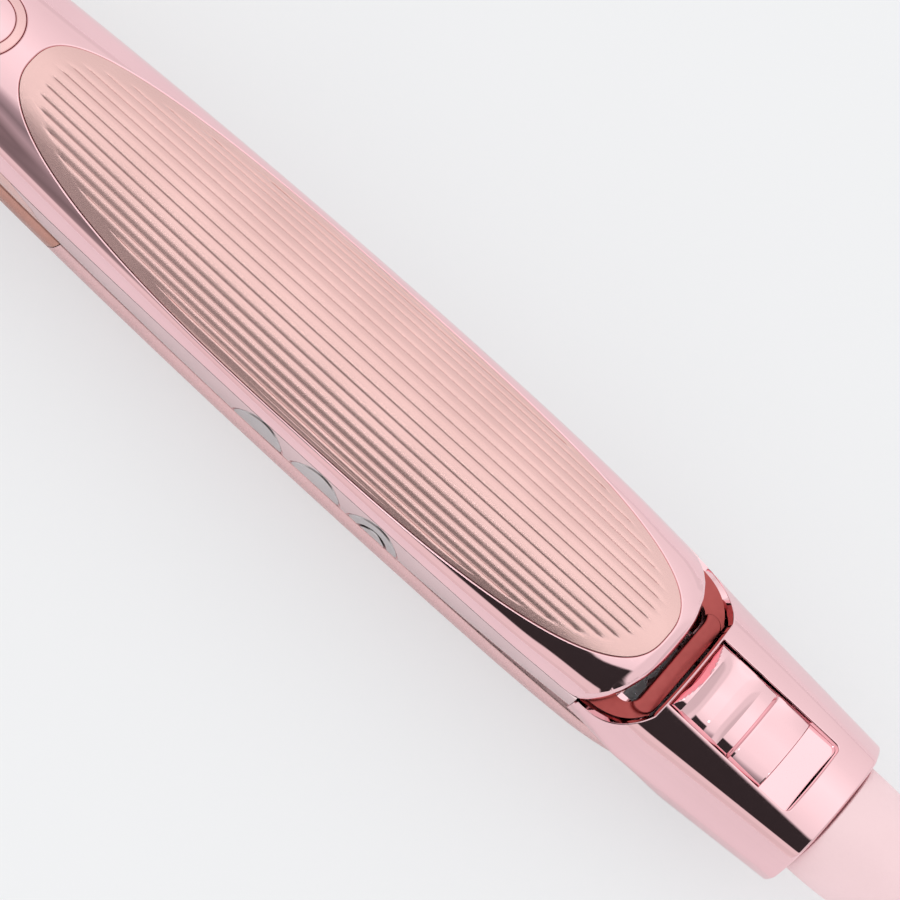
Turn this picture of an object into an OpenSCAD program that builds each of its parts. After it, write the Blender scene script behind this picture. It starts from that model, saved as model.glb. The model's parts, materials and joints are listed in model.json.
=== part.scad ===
// Hair straightener: two hinged arms with sprung hot plates, three side buttons,
// a slide lock in the hinge housing and a swivelling tail sleeve.
// The arms are drawn about the gap between them: X runs to the tail, Z is up, and X = 0 is
// at the rear button. The whole is then centred and stood on the floor.

/* [Arms] */
// Width across the grip of the upper arm
grip_w = 34.5; // [34:0.1:35]
// Width across the grip of the lower arm
lower_w = 33; // [32.6:0.1:33.4]
// Width across the hot plates' end
front_w = 25.2; // [25:0.1:25.8]
// Distance from the rear button to the tips
front_l = 200; // [198:0.5:203]
// Height of the gap between the arms above the floor
gap_h = 17.4; // [17.2:0.1:17.8]
// Half of the gap between the arms
gap = 0.33; // [0.3:0.01:0.36]
// Radius of the upper arm's round side
side_r = 8.1; // [8.05:0.05:8.2]
// Wall thickness of the casings
wall = 1.6; // [1.5:0.05:1.7]

/* [Grip inlay] */
// Place of the inlay's middle along the arm
inlay_x = -22; // [-23:0.5:-21]
// Half of the inlay's length
inlay_l = 66.6; // [65:0.2:67]
// Half of the inlay's width
inlay_w = 14.7; // [14.2:0.1:14.8]
// Thickness of the inlay
inlay_t = 0.9; // [0.8:0.05:1]

/* [Buttons] */
// Distance between neighbouring buttons
button_pitch = 12.25; // [12.2:0.05:12.6]
// Half of a button's length along the arm
button_r = 5.05; // [4.9:0.05:5.1]
// Half of a button's height
button_h = 4.2; // [4.1:0.05:4.2]
// Angle of the buttons' axis below the horizontal
button_tilt = 9.5; // [9.4:0.1:10.5]
// Travel of a button
button_travel = 0.8; // [0.6:0.1:0.8]

/* [Hot plates] */
// Length of a hot plate
plate_l = 87; // [84:1:88]
// Half of a hot plate's width
plate_w = 10.7; // [10.4:0.1:10.8]
// Place of the hot plates' middle along the arms
plate_x = -151; // [-152:0.5:-150]
// Travel of a hot plate on its cushions
plate_travel = 0.8; // [0.6:0.1:0.9]

/* [Hinge and housing] */
// Place of the hinge pin along the arms
pin_x = 65; // [64.8:0.1:65.2]
// Place of the hinge pin below the gap
pin_z = -3.5; // [-3.6:0.1:-3.4]
// Radius of the hinge pin
pin_r = 1.5; // [1.4:0.05:1.6]
// Place of the housing's rear face along the arms
house_x = 83.4; // [83:0.1:84]
// Place of the slot's front end along the arms
slot_x = 52; // [51.9:0.1:52.1]
// Length of the slot
slot_l = 25.2; // [25:0.1:25.4]
// Half of the slot's width
slot_w = 6.95; // [6.9:0.05:7]
// Travel of the slide lock
lock_travel = 5; // [4.5:0.1:5]

/* [Tail] */
// Place of the tail's end along the arms
tail_x = 110; // [108:0.5:112]
// Height of the tail's axis above the gap
tail_z = 2; // [1.9:0.1:2.1]
// Radius of the tail at the housing
tail_r = 10.5; // [10.2:0.1:10.7]
// Radius of the cord's bore
cord_r = 3.3; // [3:0.1:3.4]

/* [Hidden] */

// Finishes, as the photograph shows them
pink_plate = "#e8b9c0";
grey_plate = "#cdb6b8";
rose_satin = "#cfa59c";
brown_satin = "#a86f62";
silver_plate = "#c6bec0";
dark_resin = "#3a3234";
pale_rubber = "#f0cdd2";
steel = "#b8babd";
ceramic = "#ece8e0";
board_green = "#2f6b4a";
silicone = "#d8d4cc";
hot_plate = "#d9a9a0";

round_fn = 64;
through = 60;
skin = 0.05;

// Upper arm
side_mid = 6.6;
side_front = 3;
crease_mid = 5.45;
crease_rear = 5.9;
crown_mid = 4.95;
crown_front = 5.85;
crown_rear = 3.5;
crown_share = 0.46;
taper_front = 3.3e-4;
taper_rear = 7.5e-4;
taper_blend = 0.64;
seam_up = 3.65;
seam_dip = 1.2;
seam_gap = 0.1;
front_slope = 0.16;
morph_x = -100;
morph_l = 32;
slope_x = -130;
slope_l = 70;
tip_r = 9;
tip_in_y = 0.5;
tip_in_z = 0.42;
crown_n = 5;
side_n = 6;
ring_step = 11;
tip_n = 4;
lip_x = 36;
lip_reach = 11;
lip_half = 16.3;
lip_power = 2.3;
crown_rear_x = 46;
crown_front_x = 87;

// Lower arm
belly_w = 3.55;
belly_z = -12.4;
wide_z = -2.6;
wide_ctrl = -6;
land_half = 7;
land_share = 0.55;
lower_taper = 2.9e-4;
heel_taper = 6.75e-6;
heel_x = 42;
heel_in = 3.5;
heel_end = 63;
lower_morph_x = -90;
lower_morph_l = 40;
lower_slim = 0.38;
heel_rise = 0.3;
rise_x = 28;
rise_l = 36;
cover_z = -9;

// Housing
crown_r = 20;
house_top = 14;
house_fall = 0.05;
house_w = 16.5;
house_narrow = 0.072;
house_mid = 2.8;
house_edge = 4.2;
house_ctrl = 1.7;
house_low = -8.9;
house_front = 40.9;
house_ref = 50;
blend_l = 13;
house_step = 4;
drop_x = 51;
drop_l = 12;
rim_x = 40;
rim_reach = 13;
rim_half = 15.8;
rim_power = 2.8;
well_z = 9;
well_half = 10.2;
well_x = 48.2;
bar_x = 51.2;
floor_z = 9.7;

// Hinge
lug_in = 3.6;
lug_out = 7.2;
lug_r = 4.4;
pocket_half = 7.6;
window_end = 70;
boss_r = 3.4;
boss_end = 12.4;
pin_clear = 0.05;

// Casing ends, screws and medallion
shell_end = 47.2;
inner_start = -82;
inner_end = 40.8;
inlay_start = -90;
inlay_end = 46;
cover_end = -60;
join_x = 37;
skirt_z = 6.9;
cavity_end = 46;
pocket_x = 46.5;
pocket_low = -10.8;
deck_low = 2.2;
deck_start = -66.5;
lower_inlay_w = 12.2;
inlay_power_front = 2.5;
inlay_power_rear = 3;
medallion_x = -98.6;
medallion_r = 6;
medallion_rim = 1.1;
upper_screw_x = [-60, 30];
lower_screw_x = [-60, 34];
screw_r = 1.25;
screw_head_r = 2.5;
screw_head_h = 0.9;
screw_l = 8;
screw_top = 9.5;
screw_boss_r = 2.8;
boss_low = 2.1;

// Hot plates
plate_low = 0.15;
plate_top = 3;
plate_gap = 0.3;
plate_chamfer = 0.9;
window_top = 4.4;
heater_l = 33;
heater_w = 6.5;
heater_top = 4.4;
holder_l = 39;
holder_w = 7;
holder_top = 6.2;
cushion_x = [-178, -124];
cushion_top = 10.1;
lower_cushion_top = 9.7;
cushion_r = 2.2;

// Buttons and boards
button_gap = 0.3;
button_base = 4.9;
button_ear = 5.9;
board_top = -0.3;
switch_low = -0.1;
board_half = 4.6;
power_x = -52;
power_l = 76;
power_w = 8;
power_z = -7;

// Slot, slide lock and housing walls
slot_corner = 1;
floor_low = 8.4;
flange = 0.8;
rim_wall = 0.8;
rim_wall_low = 7;
frame_low = 5.6;
tub_floor = 6.4;
lock_gap = 0.3;
lock_l = 19.3;
lock_under = 0.25;
stem_x = 56;
stem_l = 4;
stem_w = 2.2;
tongue_w = 3.5;
tongue_low = 7.4;
tongue_top = 8.2;
hook_low = 6.2;
hook_t = 1;
scoop_x = [57.6, 68.2];
scoop_r = [8, 4.4];
scoop_z = [19.8, 15.6];
leaf_x = 57;
leaf_end = 76;
leaf_out = 4.15;
leaf_t = 0.4;

// Hinge pieces
pin_half = 11.4;
coil_r = 3.3;
coil_half = 3.3;
spring_start = 58;
spring_end = 73;
neck_tilt = -38;
neck_l = 11;
base_x = 47.4;
base_end = 61;
base_low = -10.7;
base_top = -8.7;
horn_x = 65.3;
horn_t = 0.9;
horn_w = 2.2;
horn_top = 7.2;
knuckle_screw_x = [50.5];

// Tail
neck_r = 6;
groove_r = 5;
neck_x = 79.6;
retainer_r = 7.6;
tail_start = 83.7;
tail_end_r = 5;
tail_bulge = 2.6;

place_x = (front_l - tail_x) / 2;
tip_x = -front_l;
button_x = [-2 * button_pitch, -button_pitch, 0];

// Shared curves
function part(t) = min(1, max(0, t));
function ease(t) = let (u = part(t)) u * u * (3 - 2 * u);
function blend(a, b) = (a + b + sqrt((a - b) * (a - b) + taper_blend)) / 2;
function bezier(p, q, r, t) = (1 - t) * (1 - t) * p + 2 * t * (1 - t) * q + t * t * r;
function tip_curve(x, x0) = let (u = part((x - x0) / tip_r)) sqrt(1 - (1 - u) * (1 - u));

// Half widths and heights of the upper arm along X
function upper_half(x) =
    blend(grip_w / 2 - (x < 0 ? taper_front : taper_rear) * x * x, front_w / 2);
function side_z(x) = side_mid - (side_mid - side_front) * ease((morph_x - x) / morph_l);
function crease_up(x) = crease_mid + (crease_rear - crease_mid) * ease(x / crown_rear_x);
function crown_want(x) = x > 0
    ? crown_mid + (crown_rear - crown_mid) * pow(x / crown_rear_x, 2)
    : crown_mid + (crown_front - crown_mid) * pow(x / crown_front_x, 2);
function upper_fall(x) = 1 - front_slope * part((slope_x - x) / slope_l);
function crease_y(x) = upper_half(x) - side_r + sqrt(side_r * side_r - pow(crease_up(x), 2));
function crown_drop(x) = min(crown_want(x), crown_share * crease_y(x));
function apex_z(x) = gap + (side_z(x) + crease_up(x) + crown_drop(x) - gap) * upper_fall(x);
function seam_z(x) = gap
    + (side_z(x) + seam_up - seam_dip * min(1, pow(x / (x < 0 ? 74 : 40), 2)) - gap)
    * upper_fall(x);

// Outline of the upper arm across X, t inside its skin
function upper_half_ring(x, t) =
    let (up = crease_up(x), yc = upper_half(x) - side_r, zc = side_z(x), ye = crease_y(x),
         ze = zc + up, drop = crown_drop(x), cr = (ye * ye + drop * drop) / (2 * drop),
         a = asin(ye / cr), b = asin(up / side_r), c = asin((zc - gap) / side_r),
         m = (a + 90 - b) / 2)
    concat([for (i = [0 : crown_n - 1]) let (q = a * i / crown_n)
                [(cr - t) * sin(q), ze + drop - cr + (cr - t) * cos(q)]],
           [[ye - t * sin(m), ze - t * cos(m)]],
           [for (i = [1 : side_n]) let (q = b - (b + c) * i / side_n)
                [yc + (side_r - t) * cos(q), max(gap + t, zc + (side_r - t) * sin(q))]]);
function upper_ring(x, t) =
    let (k = tip_curve(x, tip_x + t), sy = 1 - tip_in_y * (1 - k),
         sz = upper_fall(x) * (1 - tip_in_z * (1 - k)), half = upper_half_ring(x, t))
    [for (p = concat(half, [for (i = [len(half) - 1 : -1 : 1]) [-half[i][0], half[i][1]]]))
        [x, p[0] * sy, gap + (p[1] - gap) * sz]];

// Half widths of the lower arm, and its outline across X
function lower_half(x) = blend(
    lower_w / 2 - (x < 0 ? lower_taper * x * x : heel_taper * pow(x, 3)), front_w / 2)
    - heel_in * pow(part((x - heel_x) / (heel_end - heel_x)), 2);
function lower_slim(x) = 1 - lower_slim * ease((lower_morph_x - x) / lower_morph_l)
    - heel_rise * ease((x - rise_x) / rise_l);
function belly_low(x) = -gap + (gap - gap_h) * lower_slim(x);
function lower_half_ring(x, t) =
    let (w = lower_half(x) - t, ye = w - belly_w + 0.35 * t, ze = belly_z + 0.55 * t,
         land = min(land_half, land_share * ye), low = -gap_h + t,
         knee = land + 0.25 * (ye - land))
    concat([[w - 1.1, t - gap], [w - 0.25, -gap - 0.8]],
           [for (i = [0 : side_n - 1]) bezier([w, wide_z], [w, wide_ctrl], [ye, ze], i / side_n)],
           [for (i = [0 : 3]) bezier([ye, ze], [knee, low], [land, low], i / 3)]);
function lower_ring(x, t) =
    let (k = tip_curve(x, tip_x + t), sy = 1 - tip_in_y * (1 - k),
         sz = lower_slim(x) * (1 - tip_in_z * (1 - k)), half = lower_half_ring(x, t))
    [for (p = concat(half, [for (i = [len(half) - 1 : -1 : 0]) [-half[i][0], half[i][1]]]))
        [x, p[0] * sy, -gap + (p[1] + gap) * sz]];

// Outline of the hinge housing across X, t inside its skin
function house_half(x) = house_w - house_narrow * (x - house_ref);
function house_low_z(x) = gap + (house_low - gap) * ease((x - drop_x) / drop_l);
function house_half_ring(x, t) =
    let (s = ease((x - rim_x) / blend_l), wa = upper_half(min(x, 47)), wh = house_half(x),
         w = wa + (wh - wa) * s - t, zm = side_mid + (house_mid - side_mid) * s,
         top = house_top - house_fall * (x - house_ref), ye = w + t - house_edge + 1.8 * (1 - s),
         ze = top - crown_r + sqrt(crown_r * crown_r - ye * ye) + 2 * (1 - s),
         yi = ye - 0.75 * t, zi = ze - 0.7 * t, low = house_low_z(x) + t,
         n = 4.5 - 1.7 * s)
    concat([for (i = [0 : 3]) let (y = yi * i / 4)
                [y, zi + (sqrt(pow(crown_r - t, 2) - y * y) - sqrt(pow(crown_r - t, 2) - yi * yi))]],
           [for (i = [0 : 3]) bezier([yi, zi], [w, zm + house_ctrl], [w, zm], i / 4)],
           [for (i = [0 : 6]) let (q = 90 * i / 6)
                [w * pow(cos(q), 2 / n), zm + (low - zm) * pow(sin(q), 2 / n)]]);
function house_ring(x, t) =
    let (half = house_half_ring(x, t), m = len(half))
    [for (p = concat(half, [for (i = [m - 2 : -1 : 1]) [-half[i][0], half[i][1]]]))
        [x, p[0], p[1]]];

// Closed skin through rings of equal length, ordered along +X
module loft(rings) {
    m = len(rings[0]);
    n = len(rings);
    polyhedron(
        points = [for (r = rings) for (p = r) p],
        faces = concat(
            [[for (j = [m - 1 : -1 : 0]) j]],
            [[for (j = [0 : m - 1]) (n - 1) * m + j]],
            [for (i = [0 : n - 2]) for (j = [0 : m - 1]) for (k = [0, 1])
                let (a = i * m + j, b = i * m + (j + 1) % m)
                k == 0 ? [a, b + m, a + m] : [a, b, b + m]]));
}

// Places of the rings: evenly from x0 to x1, or from the rounded tip to x1
function evenly(x0, x1, step) = let (n = ceil((x1 - x0) / step))
    [for (i = [0 : n]) x0 + (x1 - x0) * i / n];
function stations(x1, t) = concat(
    [for (i = [0 : tip_n - 1]) tip_x + t + tip_r * (1 - cos(90 * i / tip_n))],
    evenly(tip_x + t + tip_r, x1, ring_step));

// An arm's body inside its skin by t, whole up to x1 or only from x0 to x1
module upper_body(t, x1) loft([for (x = stations(x1, t)) upper_ring(x, t)]);
module lower_body(t, x1) loft([for (x = stations(x1, t)) lower_ring(x, t)]);
module upper_length(t, x0, x1) loft([for (x = evenly(x0, x1, ring_step)) upper_ring(x, t)]);
module lower_length(t, x0, x1) loft([for (x = evenly(x0, x1, ring_step)) lower_ring(x, t)]);
module house_body(t, x0, x1) loft([for (x = evenly(x0, x1, house_step)) house_ring(x, t)]);

// Prism across the object over an outline in X and Z
module side_prism(outline) {
    rotate([90, 0, 0]) linear_extrude(through, center = true) polygon(outline);
}
module box_at(x0, x1, y0, y1, z0, z1) translate([x0, y0, z0]) cube([x1 - x0, y1 - y0, z1 - z0]);
module across(x, z, r, y0, y1) translate([x, y1, z]) rotate([90, 0, 0])
    cylinder(r = r, h = y1 - y0, $fn = round_fn);
module along(x0, x1, z, r) translate([x0, 0, z]) rotate([0, 90, 0])
    cylinder(r = r, h = x1 - x0, $fn = round_fn);
module upright(x, y, z0, z1, r) translate([x, y, z0]) cylinder(r = r, h = z1 - z0, $fn = round_fn);
module placed() translate([place_x, 0, gap_h]) children();

// Plan outlines by formula
function oval(cx, a, b, n_front, n_rear) =
    [for (i = [0 : 39]) let (q = 9 * i, n = cos(q) < 0 ? n_front : n_rear)
        [cx + a * sign(cos(q)) * pow(abs(cos(q)), 2 / n),
         b * sign(sin(q)) * pow(abs(sin(q)), 2 / n)]];
function nose(cx, a, b, n, x_back, wide) = concat(
    [[cx, -wide], [x_back, -wide], [x_back, wide], [cx, wide]],
    [for (i = [0 : 18]) let (q = 90 - 10 * i)
        [cx + a * pow(abs(cos(q)), 2 / n), b * sign(sin(q)) * pow(abs(sin(q)), 2 / n)]]);
module plan_prism(outline, z0, z1) translate([0, 0, z0]) linear_extrude(z1 - z0) polygon(outline);
module inlay_prism(grow, half, z0, z1)
    plan_prism(oval(inlay_x, inlay_l + grow, half + grow, inlay_power_front, inlay_power_rear), z0, z1);
module arm_end(t, z0, z1)
    plan_prism(nose(lip_x, lip_reach - t, lip_half - t, lip_power, tip_x - 10, through), z0, z1);
module rim_prism(grow, z0, z1) intersection() {
    plan_prism(nose(rim_x, rim_reach + grow, rim_half + grow, rim_power, 0, rim_half + grow + 1), z0, z1);
    box_at(house_front, bar_x + grow, -through, through, z0, z1);
}

// Zones that split an arm into its pieces
module above_seam(x1, cut) side_prism(concat(
    [[x1, 40], [tip_x - 10, 40]],
    [for (x = concat([tip_x - 10], stations(x1, 0))) [x, max(seam_z(x), x > join_x ? well_z + cut : -40)]]));
module below_seam(x1) side_prism(concat(
    [[x1, -10], [tip_x - 10, -10]],
    [for (x = concat([tip_x - 10], stations(x1, 0))) [x, seam_z(x) - seam_gap]]));
module upper_cover_zone(grow) side_prism(concat(
    [[-79 + grow, 8.9], [-74 + grow, 7.6], [-70.5 + grow, 5], [-69 + grow, -10], [tip_x - 10, -10],
     [tip_x - 10, 40], [-79 + grow, 40]]));
function cover_split(x) = -gap + (cover_z + gap) * lower_slim(x);
module lower_cover_zone(grow) side_prism(concat(
    [[-68.6 + grow, cover_z - grow], [-66 + grow, 10], [tip_x - 10, 10]],
    [for (x = [tip_x - 10 : 10 : -70]) [x, cover_split(x) - grow]]));

// Upper arm
module upper_outer_shell() color(pink_plate) placed() {
    difference() {
        intersection() {
            upper_body(0, shell_end);
            above_seam(shell_end, 0.1);
            arm_end(0, 0, 40);
        }
        intersection() {
            upper_body(wall, shell_end);
            arm_end(wall, -1, 41);
        }
        difference() {
            inlay_prism(skin, inlay_w, 5, 40);
            upper_length(inlay_t, inlay_start, inlay_end);
        }
        difference() {
            upright(medallion_x, 0, 5, 40, medallion_r + skin);
            medallion_length(inlay_t);
        }
    }
    difference() {
        intersection() {
            arm_end(0.02, skirt_z, well_z + 0.3);
            box_at(house_front + 0.3, shell_end, -well_half + 0.4, well_half - 0.4, skirt_z, 12);
        }
        arm_end(1.2, 0, 20);
    }
    for (x = upper_screw_x) difference() {
        upright(x, 0, boss_low, apex_z(x) - wall + 0.3, screw_boss_r);
        upright(x, 0, boss_low - 1, screw_top, screw_r);
    }
    for (x = cushion_x) upright(x, 0, cushion_top, apex_z(x) - wall + 0.5, cushion_r);
}
module medallion_length(t) upper_length(t, medallion_x - medallion_r - 1, medallion_x + medallion_r + 1);
module upper_grip_inlay() color(rose_satin) placed() difference() {
    intersection() {
        upper_length(0, inlay_start, inlay_end);
        inlay_prism(0, inlay_w, 5, 40);
    }
    upper_length(inlay_t - skin, inlay_start, inlay_end);
}
module medallion_ring() color(pink_plate) placed() difference() {
    intersection() {
        medallion_length(0);
        upright(medallion_x, 0, 5, 40, medallion_r);
    }
    medallion_length(inlay_t - skin);
    upright(medallion_x, 0, 4, 41, medallion_r - medallion_rim);
}
module medallion_disc() color(rose_satin) placed() difference() {
    intersection() {
        medallion_length(0);
        upright(medallion_x, 0, 5, 40, medallion_r - medallion_rim - skin);
    }
    medallion_length(inlay_t - skin);
}
module upper_inner_shell() color(grey_plate) placed() difference() {
    intersection() {
        upper_length(0, inner_start, inner_end);
        below_seam(inner_end);
    }
    upper_cover_zone(seam_gap);
    upper_length(wall, inner_start - 5, inner_end + 5);
    for (x = button_x) on_button_axis(x) button_oval(button_gap, 0, 12);
    for (x = upper_screw_x) {
        upright(x, 0, -1, 4, screw_r + 0.1);
        upright(x, 0, -1, gap + screw_head_h, screw_head_r + 0.1);
    }
}
module upper_front_cover() color(rose_satin) placed() difference() {
    intersection() {
        upper_body(0, cover_end);
        below_seam(cover_end);
        upper_cover_zone(0);
    }
    upper_body(wall, cover_end + 5);
    plate_window(-1, window_top);
}
module plate_window(z0, z1) box_at(plate_x - plate_l / 2 - plate_gap, plate_x + plate_l / 2 + plate_gap,
    -plate_w - plate_gap, plate_w + plate_gap, z0, z1);
module screws_at(places, z0, dir) for (x = places) translate([x, 0, z0]) mirror([0, 0, dir < 0 ? 1 : 0])
    difference() {
        union() {
            cylinder(r = screw_head_r, h = screw_head_h - 0.1, $fn = round_fn);
            cylinder(r = screw_r, h = screw_l, $fn = round_fn);
        }
        for (a = [0, 90]) rotate([0, 0, a]) box_at(-1.5, 1.5, -0.3, 0.3, -1, 0.5);
    }
module upper_screws() color(steel) placed() screws_at(upper_screw_x, gap + 0.1, 1);

// Hot plate, heater and holder of one arm, drawn for the upper one
module plate_shape() difference() {
    box_at(plate_x - plate_l / 2, plate_x + plate_l / 2, -plate_w, plate_w, plate_low, plate_top);
    for (s = [-1, 1]) translate([0, s * plate_w, plate_low]) rotate([45, 0, 0])
        cube([800, plate_chamfer, plate_chamfer], center = true);
}
module heater_shape() box_at(plate_x - heater_l, plate_x + heater_l, -heater_w, heater_w, plate_top, heater_top);
module holder_shape() difference() {
    box_at(plate_x - holder_l, plate_x + holder_l, -holder_w, holder_w, heater_top, holder_top);
    box_at(plate_x - heater_l + 12, plate_x + heater_l - 12, -heater_w + 2, heater_w - 2,
        heater_top - 1, holder_top + 1);
}
module cushion_shape() for (x = cushion_x) upright(x, 0, holder_top, cushion_top, cushion_r);
module upper_plate() color(hot_plate) placed() plate_shape();
module upper_heater() color(ceramic) placed() heater_shape();
module upper_plate_holder() color(dark_resin) placed() holder_shape();
module upper_cushions() color(silicone) placed() cushion_shape();

// Side buttons and their switches
module on_button_axis(x) translate([x, side_r - upper_half(x), side_mid]) rotate([90 + button_tilt, 0, 0])
    children();
module button_oval(grow, z0, z1) translate([0, 0, z0])
    scale([1, (button_h + grow) / (button_r + grow), 1])
    cylinder(r = button_r + grow, h = z1 - z0, $fn = round_fn);
module button_cap(x) on_button_axis(x) {
    intersection() {
        button_oval(0, button_base, 13);
        rotate([0, 90, 0]) cylinder(r = side_r - skin, h = 4 * button_r, center = true, $fn = 96);
    }
    translate([-button_ear, -1.6, button_base]) cube([2 * button_ear, 3.2, 1.2]);
    translate([0, 0, button_base - 2.2]) cylinder(r = 1.5, h = 2.3, $fn = round_fn);
}
module button_plus() color(silver_plate) placed() button_cap(button_x[0]);
module button_minus() color(silver_plate) placed() button_cap(button_x[1]);
module button_power() color(silver_plate) placed() difference() {
    button_cap(button_x[2]);
    on_button_axis(button_x[2]) translate([0, 0, side_r - 0.25]) difference() {
        cylinder(r = 3.1, h = 2, $fn = round_fn);
        translate([0, 0, -1]) cylinder(r = 2.6, h = 4, $fn = round_fn);
    }
}
module tact_switches() color(dark_resin) placed() for (x = button_x) on_button_axis(x) {
    translate([-3, -3, switch_low]) cube([6, 6, 1.6]);
    translate([0, 0, switch_low + 1.6]) cylinder(r = 1.4, h = 0.35, $fn = round_fn);
}
module control_board() color(board_green) placed() on_button_axis(button_x[1])
    translate([-20, -board_half, board_top - 1.2]) cube([40, 2 * board_half, 1.2]);

// Hinge end
module mirrored_y() {
    children();
    mirror([0, 1, 0]) children();
}
module slot_outline(inset) {
    x1 = slot_x + slot_l - inset;
    w = slot_w - inset;
    translate([slot_x + inset, -w]) square([slot_l - 2 * inset - slot_corner, 2 * w]);
    translate([x1 - 2 * slot_corner, slot_corner - w])
        square([2 * slot_corner, 2 * (w - slot_corner)]);
    for (s = [-1, 1]) translate([x1 - slot_corner, s * (w - slot_corner)])
        circle(r = slot_corner, $fn = round_fn);
}
module hinge_housing() color(pink_plate) placed() difference() {
    union() {
        difference() {
            house_body(0, house_front, house_x);
            house_body(wall, house_front - 2, house_x - wall);
        }
        intersection() {
            house_body(0.3, house_front, house_x - 1);
            difference() {
                rim_prism(rim_wall, rim_wall_low, 20);
                rim_prism(0, 0, 21);
            }
        }
        mirrored_y() across(pin_x, pin_z, boss_r, pocket_half, boss_end);
    }
    rim_prism(0, well_z - flange, 30);
    translate([0, 0, floor_low]) linear_extrude(20) slot_outline(0);
    box_at(house_front - 1, window_end, -pocket_half, pocket_half, 2 * house_low, gap + wall + 1);
    across(pin_x, pin_z, pin_r, -boss_end + 1, boss_end - 1);
    along(house_x - wall - 1, house_x + 1, tail_z, neck_r + pin_clear);
}
module hinge_well_frame() color(brown_satin) placed() difference() {
    union() {
        rim_prism(-skin, well_z - flange, well_z);
        intersection() {
            house_body(wall + 0.1, house_front + 0.1, house_x - 5);
            rim_prism(-skin, frame_low, well_z - flange + 0.1);
        }
    }
    box_at(house_front - 1, well_x, -well_half, well_half, tub_floor, 20);
    box_at(0, house_front + 1, -30, 30, 0, 20);
}
module slot_floor() color(pink_plate) placed() difference() {
    translate([0, 0, floor_low]) linear_extrude(floor_z - floor_low) slot_outline(0);
    box_at(stem_x - 0.3, stem_x + stem_l + lock_travel + 0.3, -stem_w - 0.3, stem_w + 0.3, 0, 20);
}
module slide_lock() color(pink_plate) placed() {
    difference() {
        intersection() {
            house_body(lock_under, slot_x, house_x - 1);
            box_at(slot_x + lock_gap, slot_x + lock_l, lock_gap - slot_w, slot_w - lock_gap,
                floor_z + 0.2, 20);
        }
        across(scoop_x[0], scoop_z[0], scoop_r[0], -10, 10);
        across(scoop_x[1], scoop_z[1], scoop_r[1], -10, 10);
    }
    box_at(stem_x, stem_x + stem_l, -stem_w, stem_w, tongue_top - 0.1, floor_z + 0.3);
    box_at(stem_x, stem_x + stem_l, -tongue_w, tongue_w, tongue_low, tongue_top);
    box_at(stem_x + stem_l - hook_t, stem_x + stem_l, -stem_w, stem_w, hook_low, tongue_low + 0.1);
}
module lock_spring() color(steel) placed() difference() {
    box_at(leaf_x, leaf_end, -leaf_out, leaf_out, floor_low - 1, floor_low);
    box_at(leaf_x - 1, leaf_end - leaf_t, leaf_t - leaf_out, leaf_out - leaf_t, floor_low - 2, floor_low + 1);
}
module hinge_pin() color(steel) placed() across(pin_x, pin_z, pin_r, -pin_half, pin_half);
module hinge_spring() color(steel) placed() {
    difference() {
        across(pin_x, pin_z, coil_r, -coil_half, coil_half);
        across(pin_x, pin_z, pin_r + 0.3, -coil_half - 1, coil_half + 1);
    }
    translate([0, coil_half - 0.7, 0]) along(pin_x, spring_end, pin_z - coil_r + 0.5, 0.5);
    translate([0, 0.7 - coil_half, 0]) along(spring_start, pin_x, pin_z + coil_r - 0.5, 0.5);
}
module hinge_knuckle() color(steel) placed() difference() {
    union() {
        for (s = [-1, 1]) {
            y0 = min(s * lug_in, s * lug_out);
            across(pin_x, pin_z, lug_r, y0, y0 + lug_out - lug_in);
            translate([pin_x, y0, pin_z]) rotate([0, neck_tilt, 0])
                translate([-neck_l, 0, -lug_r]) cube([neck_l, lug_out - lug_in, 2 * lug_r]);
        }
        box_at(base_x, base_end, -lug_out, lug_out, base_low, base_top);
        box_at(horn_x, horn_x + horn_t, -lug_out, lug_out, pin_z + coil_r + 0.5, pin_z + coil_r + 2.5);
        box_at(horn_x, horn_x + horn_t, -horn_w, horn_w, pin_z + coil_r + 2, horn_top);
    }
    across(pin_x, pin_z, pin_r + pin_clear, -10, 10);
    box_at(base_x - 5, base_end + 10, -10, 10, base_low - 20, base_low);
    for (x = knuckle_screw_x) upright(x, 0, base_low - 1, base_top + 1, screw_r + 0.2);
}
module tail_sleeve() color(pale_rubber) placed() translate([0, 0, tail_z]) rotate([0, 90, 0])
    rotate_extrude($fn = 96) polygon(concat(
        [[cord_r, neck_x], [neck_r, neck_x], [neck_r, neck_x + 0.4], [groove_r, neck_x + 0.4],
         [groove_r, neck_x + 2], [neck_r, neck_x + 2], [neck_r, tail_start]],
        [for (i = [0 : 12]) let (t = i / 12)
            [tail_end_r + (tail_r - tail_end_r) * (1 - pow(t, tail_bulge)), tail_start + (tail_x - 1 - tail_start) * t]],
        [[tail_end_r - 0.3, tail_x - 0.3], [tail_end_r - 1, tail_x], [cord_r, tail_x]]));
module swivel_retainer() color(steel) placed() difference() {
    along(neck_x + 0.5, neck_x + 1.9, tail_z, retainer_r);
    along(neck_x - 1, neck_x + 3, tail_z, groove_r);
}

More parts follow.
